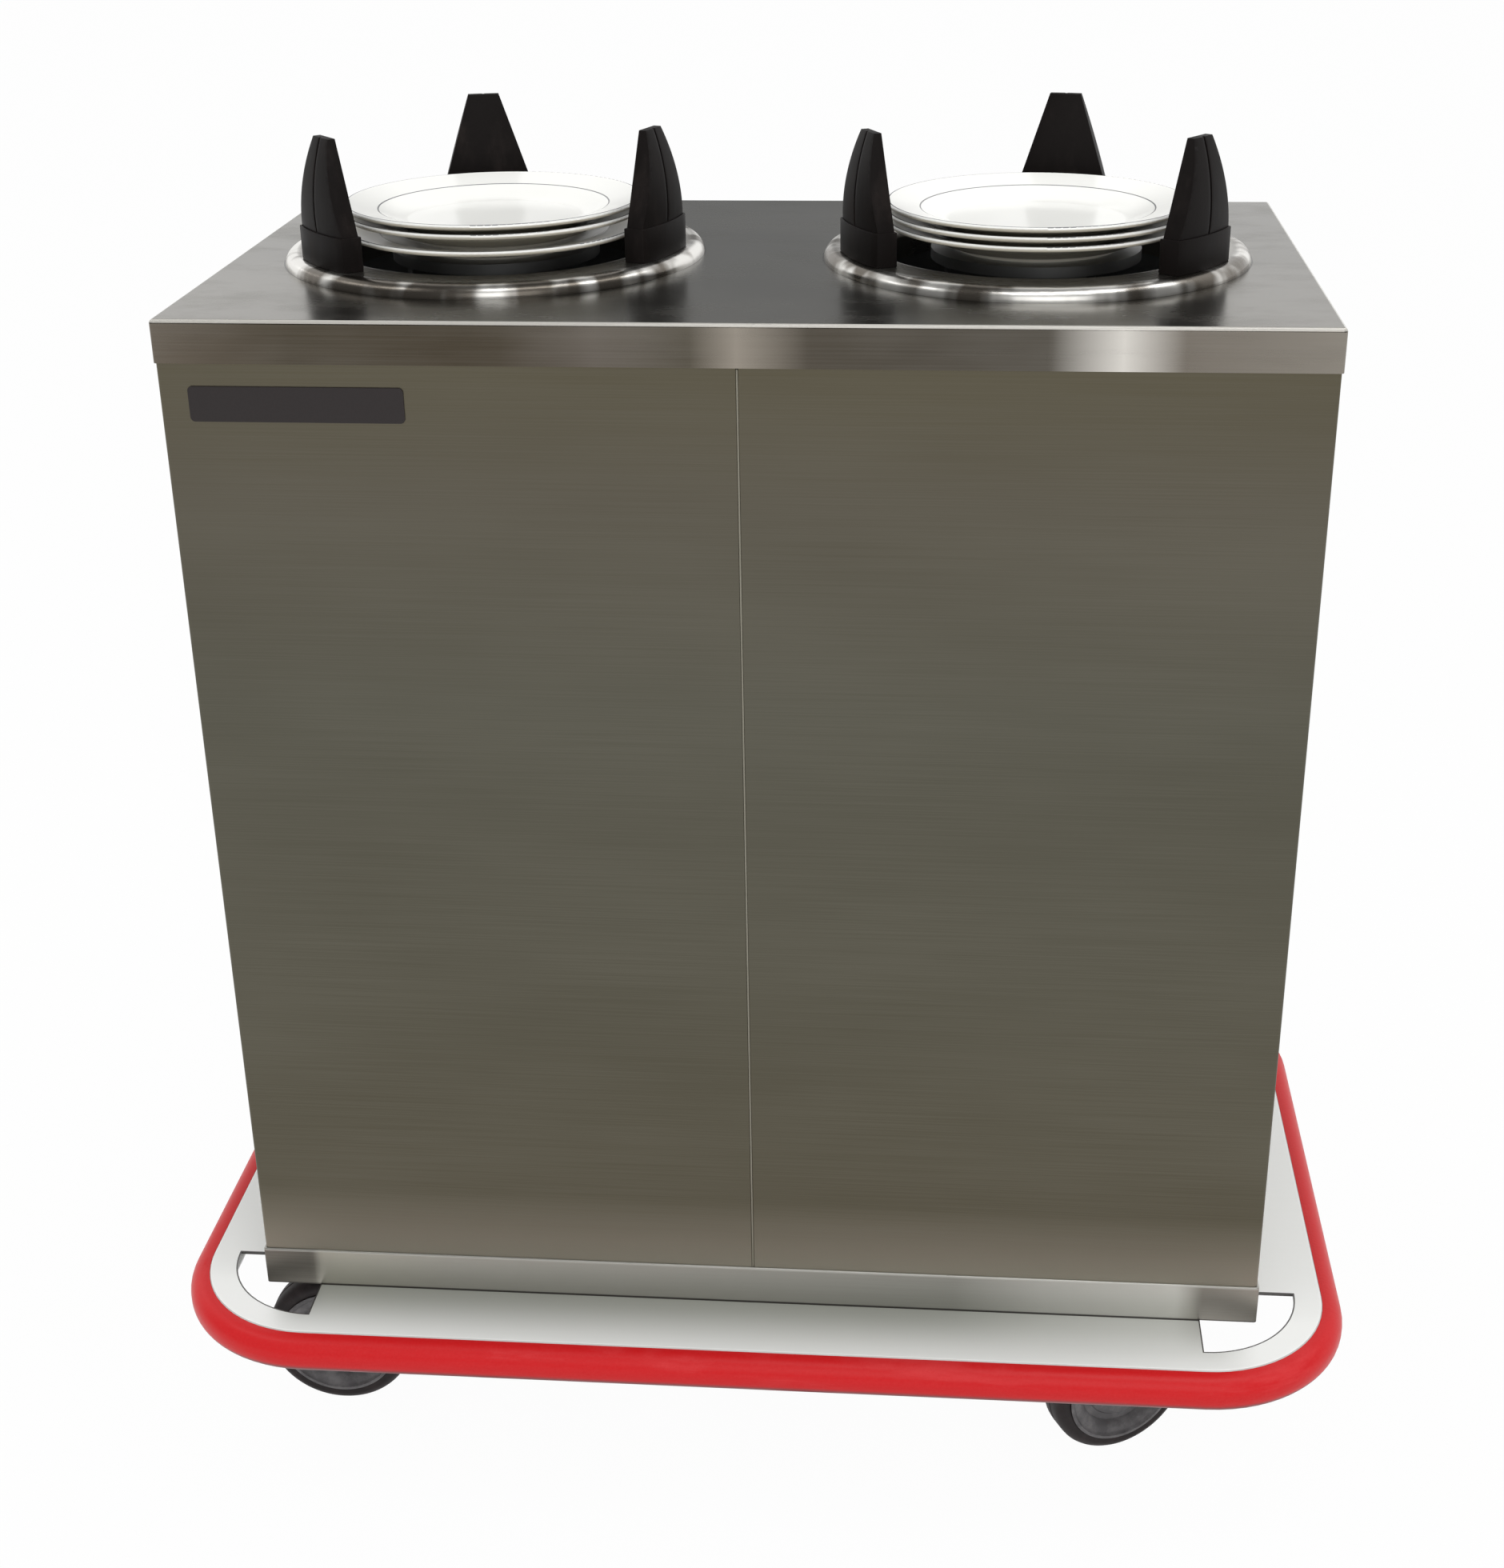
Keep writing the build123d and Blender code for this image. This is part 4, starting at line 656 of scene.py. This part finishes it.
# Painted highlight: a bright line along the deck's folded edge.
deck_edge_highlight = (deck_steel.z > deck_high.z - deck_rim) * deck_steel.step(
    (deck_steel.y < deck_low.y + deck_rim)
    + (abs(deck_steel.x) > deck_high.x - deck_rim), 0.0, 1.0)
deck_wear = deck_steel.step(0.3 * deck_grain + 0.7 * deck_cloud, 0.3, 0.75)
deck_unshaded = deck_steel.mix(deck_wear * 0.14 + deck_edge_highlight * 0.8, deck_reflection_tone, paint(206, 203, 196))
# Painted shade: a dark line round each collar's foot.
collar_foot_shade = (around(deck_steel) < collar_reach + foot_line) * deck_up
deck_steel.vary({
    "Base Color": deck_steel.mix(collar_foot_shade * 0.75, deck_unshaded, paint(40, 37, 34)),
    "Metallic": 1 - 0.8 * deck_edge_highlight,
    "Roughness": 0.2 + 0.05 * deck_grain + 0.08 * deck_steel.step(deck_rub, 0.4, 0.75),
    "Normal": deck_steel.bump(deck_grain, 0.0001, 0.04)})
dress(deck_steel, "top_deck")

# Collars: a spun and polished stainless bead round the mouth of each well, drawn down inside.
# Hand-polishing has left faint rings in it. The bright and dull stretches along the bead are
# painted glints, painted highlights of the ceiling panels.
collar_steel = Finish("collar_steel", {"Metallic": 1.0, "Roughness": 0.24})
collar_ring = collar_steel.noise(
    collar_steel.vector(around(collar_steel) * 700, collar_steel.z * 700, 0.0), 1.0)
patch_slice = 3.7
# Painted highlights: bright glints and dull stretches along the bead.
collar_glint_patch = collar_steel.noise(
    collar_steel.vector(collar_steel.x * 34, collar_steel.y * 34, patch_slice), 1.0)
collar_glint = collar_steel.step(collar_glint_patch, 0.42, 0.62)
bead_start, bead_full = 0.015, 0.009
on_bead = collar_steel.step(
    around(collar_steel), collar_reach - bead_start, collar_reach - bead_full)
bead_glint_tone = collar_steel.mix(collar_glint, paint(112, 106, 98), paint(238, 236, 231))
flat_tone = collar_steel.mix(collar_ring, paint(150, 147, 141), paint(172, 169, 163))
collar_steel.vary({
    "Base Color": collar_steel.mix(on_bead, flat_tone, bead_glint_tone),
    "Roughness": 0.2 + 0.08 * collar_ring + 0.08 * collar_glint_patch,
    "Normal": collar_steel.bump(collar_glint_patch * on_bead, 0.002, 0.5)})
dress(collar_steel, "left_collar", "right_collar")

# Guide posts: six tapered blades moulded in black plastic, each pushed down into a moulded boot
# that is screwed to the collar. Their faces are finely textured, and their edges are rounded.
moulding = Finish("post_moulding", {"Roughness": 0.55, "Specular IOR Level": 0.12})
mould_grain = moulding.noise(moulding.place, 850.0, 2.0, 0.5)
mould_dust = moulding.noise(
    moulding.vector(moulding.x * 40, moulding.y * 40, moulding.z * 16), 1.0, 4.0, 0.65)
moulding.vary({
    "Base Color": moulding.mix(moulding.step(mould_dust, 0.5, 0.85),
                               paint(22, 18, 17), paint(40, 34, 32)),
    "Roughness": 0.42 + 0.22 * mould_dust,
    "Normal": moulding.bump(mould_grain, 0.0002, 0.35)})
for side in ("left", "right"):
    for place in ("back", "front_left", "front_right"):
        settle(softened(f"{side}_post_{place}", f"{side}_blade_{place}", 0.0009, 3), moulding,
               "cabinet", "post_black", f"{side}_post_{place}")
settle(softened("post_boots", "boots", 0.0007), moulding, "cabinet", "post_black", "post_boots")

# Dishes: white glazed ware, nested foot in well. Two fine dark lines are banded on under the
# glaze, at the well's edge and at the rim, and the undersides are painted darker and creamier,
# painted shade.
glaze = Finish("dish_glaze", {"Roughness": 0.16, "Specular IOR Level": 0.22,
                              "Coat Weight": 0.06, "Coat Roughness": 0.05})
dish_reach = around(glaze)
well_line, rim_line, line_half = 0.0887, 0.1128, 0.00055
banding = (glaze.step(abs(dish_reach - well_line), line_half * 1.4, line_half * 0.6)
           + glaze.step(abs(dish_reach - rim_line), line_half * 1.4, line_half * 0.6))
dish_up = glaze.step(glaze.normal()[2], -0.1, 0.25)
dish_cloud = glaze.noise(glaze.place, 16.0, 3.0)
dish_white = glaze.mix(dish_cloud, paint(245, 245, 241), paint(250, 250, 246))
# Painted shade: faces turned downward are darker and creamier.
dish_body_and_under_shade = glaze.mix(dish_up, paint(206, 200, 184), dish_white)
glaze.vary({
    "Base Color": glaze.mix(banding * dish_up * 0.85, dish_body_and_under_shade, paint(44, 48, 60)),
    "Roughness": 0.14 + 0.08 * dish_cloud,
    "Normal": glaze.bump(dish_cloud, 0.0004, 0.08)})
dress(glaze, *[f"{side}_plate_{number}" for side in ("left", "right") for number in (1, 2, 3)])

# Control panel: a satin stainless plate screwed on low at the back. A dial of nine ticks, with
# the figures 0 to 4 at every other one, is printed on it round the thermostat's knob.
# The panel takes the foot trim's finish, so it carries that finish's painted reflection tones and,
# over its whole face, the painted highlight of the trim's lip.
dress(trim_steel, "control_panel")
panel_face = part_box("control_panel")[1].y
knob_low, knob_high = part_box("thermostat_knob")
knob_x, knob_z = (knob_low.x + knob_high.x) / 2, (knob_low.z + knob_high.z) / 2
facing_back = Matrix(((-1, 0, 0, 0), (0, 0, 1, 0), (0, 1, 0, 0), (0, 0, 0, 1)))
print_black = Finish("dial_print", {"Roughness": 0.6})
print_fade = print_black.noise(print_black.place, 300.0, 3.0)
print_black.vary({"Base Color": print_black.mix(print_fade, paint(24, 24, 25), paint(46, 46, 47))})
dial_marks = []
dial_steps, dial_start, dial_sweep, mark_height = 9, 225.0, 270.0, 0.00012
tick_reach, tick_length, tick_width = 0.0225, 0.003, 0.0006
figure_reach, figure_size = 0.0285, 0.0068
for step in range(dial_steps):
    turn = math.radians(dial_start - dial_sweep * step / (dial_steps - 1))
    bpy.ops.mesh.primitive_plane_add(size=1)
    tick = bpy.context.object
    bpy.ops.object.mode_set(mode="EDIT")
    bpy.ops.mesh.extrude_region_move(TRANSFORM_OT_translate={"value": (0, 0, 1)})
    bpy.ops.mesh.select_all(action="SELECT")
    bpy.ops.mesh.normals_make_consistent(inside=False)
    bpy.ops.object.mode_set(mode="OBJECT")
    tick.data.transform(Matrix.Rotation(turn, 4, "Z") @ Matrix.Translation((tick_reach, 0, 0))
                        @ Matrix.Diagonal((tick_length, tick_width, mark_height, 1)))
    dial_marks.append(tick)
    if step % 2 == 0:
        bpy.ops.object.text_add()
        figure = bpy.context.object
        figure.data.body = str(step // 2)
        figure.data.size = figure_size
        figure.data.extrude = mark_height / 2
        figure.data.align_x, figure.data.align_y = "CENTER", "CENTER"
        bpy.ops.object.select_all(action="DESELECT")
        figure.select_set(True)
        bpy.context.view_layer.objects.active = figure
        bpy.ops.object.convert(target="MESH")
        figure.data.transform(Matrix.Translation((
            figure_reach * math.cos(turn), figure_reach * math.sin(turn), mark_height / 2)))
        dial_marks.append(bpy.context.object)
bpy.ops.object.select_all(action="DESELECT")
for mark in dial_marks:
    mark.select_set(True)
bpy.context.view_layer.objects.active = dial_marks[0]
bpy.ops.object.join()
dial = bpy.context.object
dial.name = "dial_scale"
dial.data.transform(Matrix.Translation((knob_x, panel_face, knob_z)) @ facing_back)
settle(dial, print_black, "cabinet", "control_black")

# Panel screws: plated pan heads with a pressed cross recess, one pattern copied to every hole.
head_radius, head_height = 0.004, 0.0022
bpy.ops.mesh.primitive_circle_add(vertices=24, radius=head_radius, fill_type="NGON")
screw = bpy.context.object
bpy.ops.object.mode_set(mode="EDIT")
bpy.ops.mesh.select_all(action="SELECT")
for scale, rise in ((1.0, 0.55), (0.93, 0.25), (0.72, 0.2)):
    bpy.ops.mesh.extrude_region_move(TRANSFORM_OT_translate={"value": (0, 0, head_height * rise)})
    bpy.ops.transform.resize(value=(scale, scale, 1), center_override=(0, 0, 0))
bpy.ops.mesh.select_all(action="SELECT")
bpy.ops.mesh.normals_make_consistent(inside=False)
bpy.ops.object.mode_set(mode="OBJECT")
cross_width, cross_length = 0.0009, 0.0038
for wide, deep in ((cross_width, cross_length), (cross_length, cross_width)):
    bpy.ops.mesh.primitive_cube_add(
        size=1, location=(0, 0, head_height), scale=(wide, deep, head_height))
    cutter = bpy.context.object
    recess = screw.modifiers.new("recess", "BOOLEAN")
    recess.object = cutter
    bpy.context.view_layer.objects.active = screw
    bpy.ops.object.modifier_apply(modifier=recess.name)
    bpy.data.objects.remove(cutter)
smooth(screw)
back_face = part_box("back_panel")[1].y
service_screw_x, lowest_row, row_pitch = 0.27715, 0.209, 0.18225
control_screw_x, control_screw_rise = 0.115, 0.047
screw_rows = [(service_screw_x, back_face, lowest_row + row_pitch * row) for row in range(5)]
screw_rows += [(control_screw_x, panel_face, knob_z + rise)
               for rise in (-control_screw_rise, control_screw_rise)]
screws = []
for number, (x, y, z) in enumerate((sign * x, y, z) for x, y, z in screw_rows for sign in (-1, 1)):
    turn = Matrix.Rotation(0.9 * number, 4, "Z")
    screws.append(copied(screw, f"screw_{number}",
                         Matrix.Translation((x, y, z)) @ facing_back @ turn))
bpy.data.objects.remove(screw)
bpy.ops.object.select_all(action="DESELECT")
for piece in screws:
    piece.select_set(True)
bpy.context.view_layer.objects.active = screws[0]
bpy.ops.object.join()
screws[0].name = "cross_head_screws"
settle(screws[0], zinc, "cabinet", "plated_steel", "panel_screws")

# Controls: a black rocker switch marked I and O in its housing, an amber pilot lamp, the
# thermostat with its black knob and white pointer line, and a mains inlet with three bare pins.
control_black = Finish("control_black", {"Roughness": 0.42})
control_grain = control_black.noise(control_black.place, 900.0, 2.0)
control_black.vary({
    "Base Color": control_black.mix(control_grain, paint(28, 28, 29), paint(44, 44, 45)),
    "Normal": control_black.bump(control_grain, 0.0001, 0.25)})
dress(control_black, "switch_housing", "thermostat")

knob_finish = Finish("knob_finish", {"Roughness": 0.4})
knob_grain = knob_finish.noise(knob_finish.place, 900.0, 2.0)
pointer_half, pointer_start, pointer_depth = 0.0007, 0.003, 0.0004
pointer = ((abs(knob_finish.x - knob_x) < pointer_half)
           * (knob_finish.z - knob_z > pointer_start)
           * (knob_finish.y > knob_high.y - pointer_depth))
knob_finish.vary({
    "Base Color": knob_finish.mix(
        pointer, knob_finish.mix(knob_grain, paint(26, 26, 27), paint(42, 42, 43)),
        paint(232, 232, 228)),
    "Normal": knob_finish.bump(knob_grain, 0.0001, 0.25)})
dress(knob_finish, "thermostat_knob")

lamp_lens = Finish("lamp_lens", {"Roughness": 0.15, "Coat Weight": 0.3})
lamp_low, lamp_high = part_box("pilot_lamp")
lamp_off = ((lamp_lens.x - (lamp_low.x + lamp_high.x) / 2) ** 2
            + (lamp_lens.z - (lamp_low.z + lamp_high.z) / 2) ** 2) ** 0.5
lens_reach, ring_reach, rib_rate = 0.0060, 0.0063, 6000.0
lamp_ring = lamp_lens.step(lamp_off, lens_reach, ring_reach)
lamp_ribs = lamp_lens.node("ShaderNodeMath", {"operation": "SINE"}, {0: lamp_off * rib_rate})
lamp_amber = lamp_lens.mix(0.5 + 0.3 * lamp_ribs, paint(196, 92, 10), paint(240, 150, 40))
lamp_lens.vary({
    "Base Color": lamp_lens.mix(lamp_ring, lamp_amber, paint(34, 34, 35)),
    "Normal": lamp_lens.bump(lamp_ribs * (1 - lamp_ring), 0.0002, 0.3)})
dress(lamp_lens, "pilot_lamp")

inlet_low, inlet_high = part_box("power_inlet")
inlet_finish = Finish("inlet_finish", {"Roughness": 0.42})
inlet_x, inlet_z = (inlet_low.x + inlet_high.x) / 2, (inlet_low.z + inlet_high.z) / 2
inlet_grain = inlet_finish.noise(inlet_finish.place, 900.0, 2.0)
pins_half_x, pins_half_z, pins_start = 0.0095, 0.0065, 0.006
pins = ((abs(inlet_finish.x - inlet_x) < pins_half_x)
        * (abs(inlet_finish.z - inlet_z) < pins_half_z)
        * (inlet_finish.y > inlet_low.y + pins_start))
inlet_finish.vary({
    "Base Color": inlet_finish.mix(
        pins, inlet_finish.mix(inlet_grain, paint(28, 28, 29), paint(44, 44, 45)),
        paint(196, 190, 170)),
    "Metallic": pins, "Roughness": 0.45 - 0.2 * pins})
dress(inlet_finish, "power_inlet")

rocker_low, rocker_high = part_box("switch_rocker")
rocker_x, rocker_z = (rocker_low.x + rocker_high.x) / 2, (rocker_low.z + rocker_high.z) / 2
rocker_mark = (rocker_high.z - rocker_low.z) / 4
rocker_finish = Finish("rocker_finish", {"Roughness": 0.38})
rocker_grain = rocker_finish.noise(rocker_finish.place, 900.0, 2.0)
stroke_half, stroke_reach, ring_radius, ring_half = 0.0005, 0.0022, 0.0018, 0.00045
on_mark = ((abs(rocker_finish.x - rocker_x) < stroke_half)
           * (abs(rocker_finish.z - rocker_z - rocker_mark) < stroke_reach))
off_reach = ((rocker_finish.x - rocker_x) ** 2
             + (rocker_finish.z - rocker_z + rocker_mark) ** 2) ** 0.5
off_mark = abs(off_reach - ring_radius) < ring_half
rocker_finish.vary({
    "Base Color": rocker_finish.mix(on_mark + off_mark, rocker_finish.mix(
        rocker_grain, paint(28, 28, 29), paint(44, 44, 45)), paint(232, 232, 228)),
    "Normal": rocker_finish.bump(rocker_grain, 0.0001, 0.25)})
dress(rocker_finish, "switch_rocker")
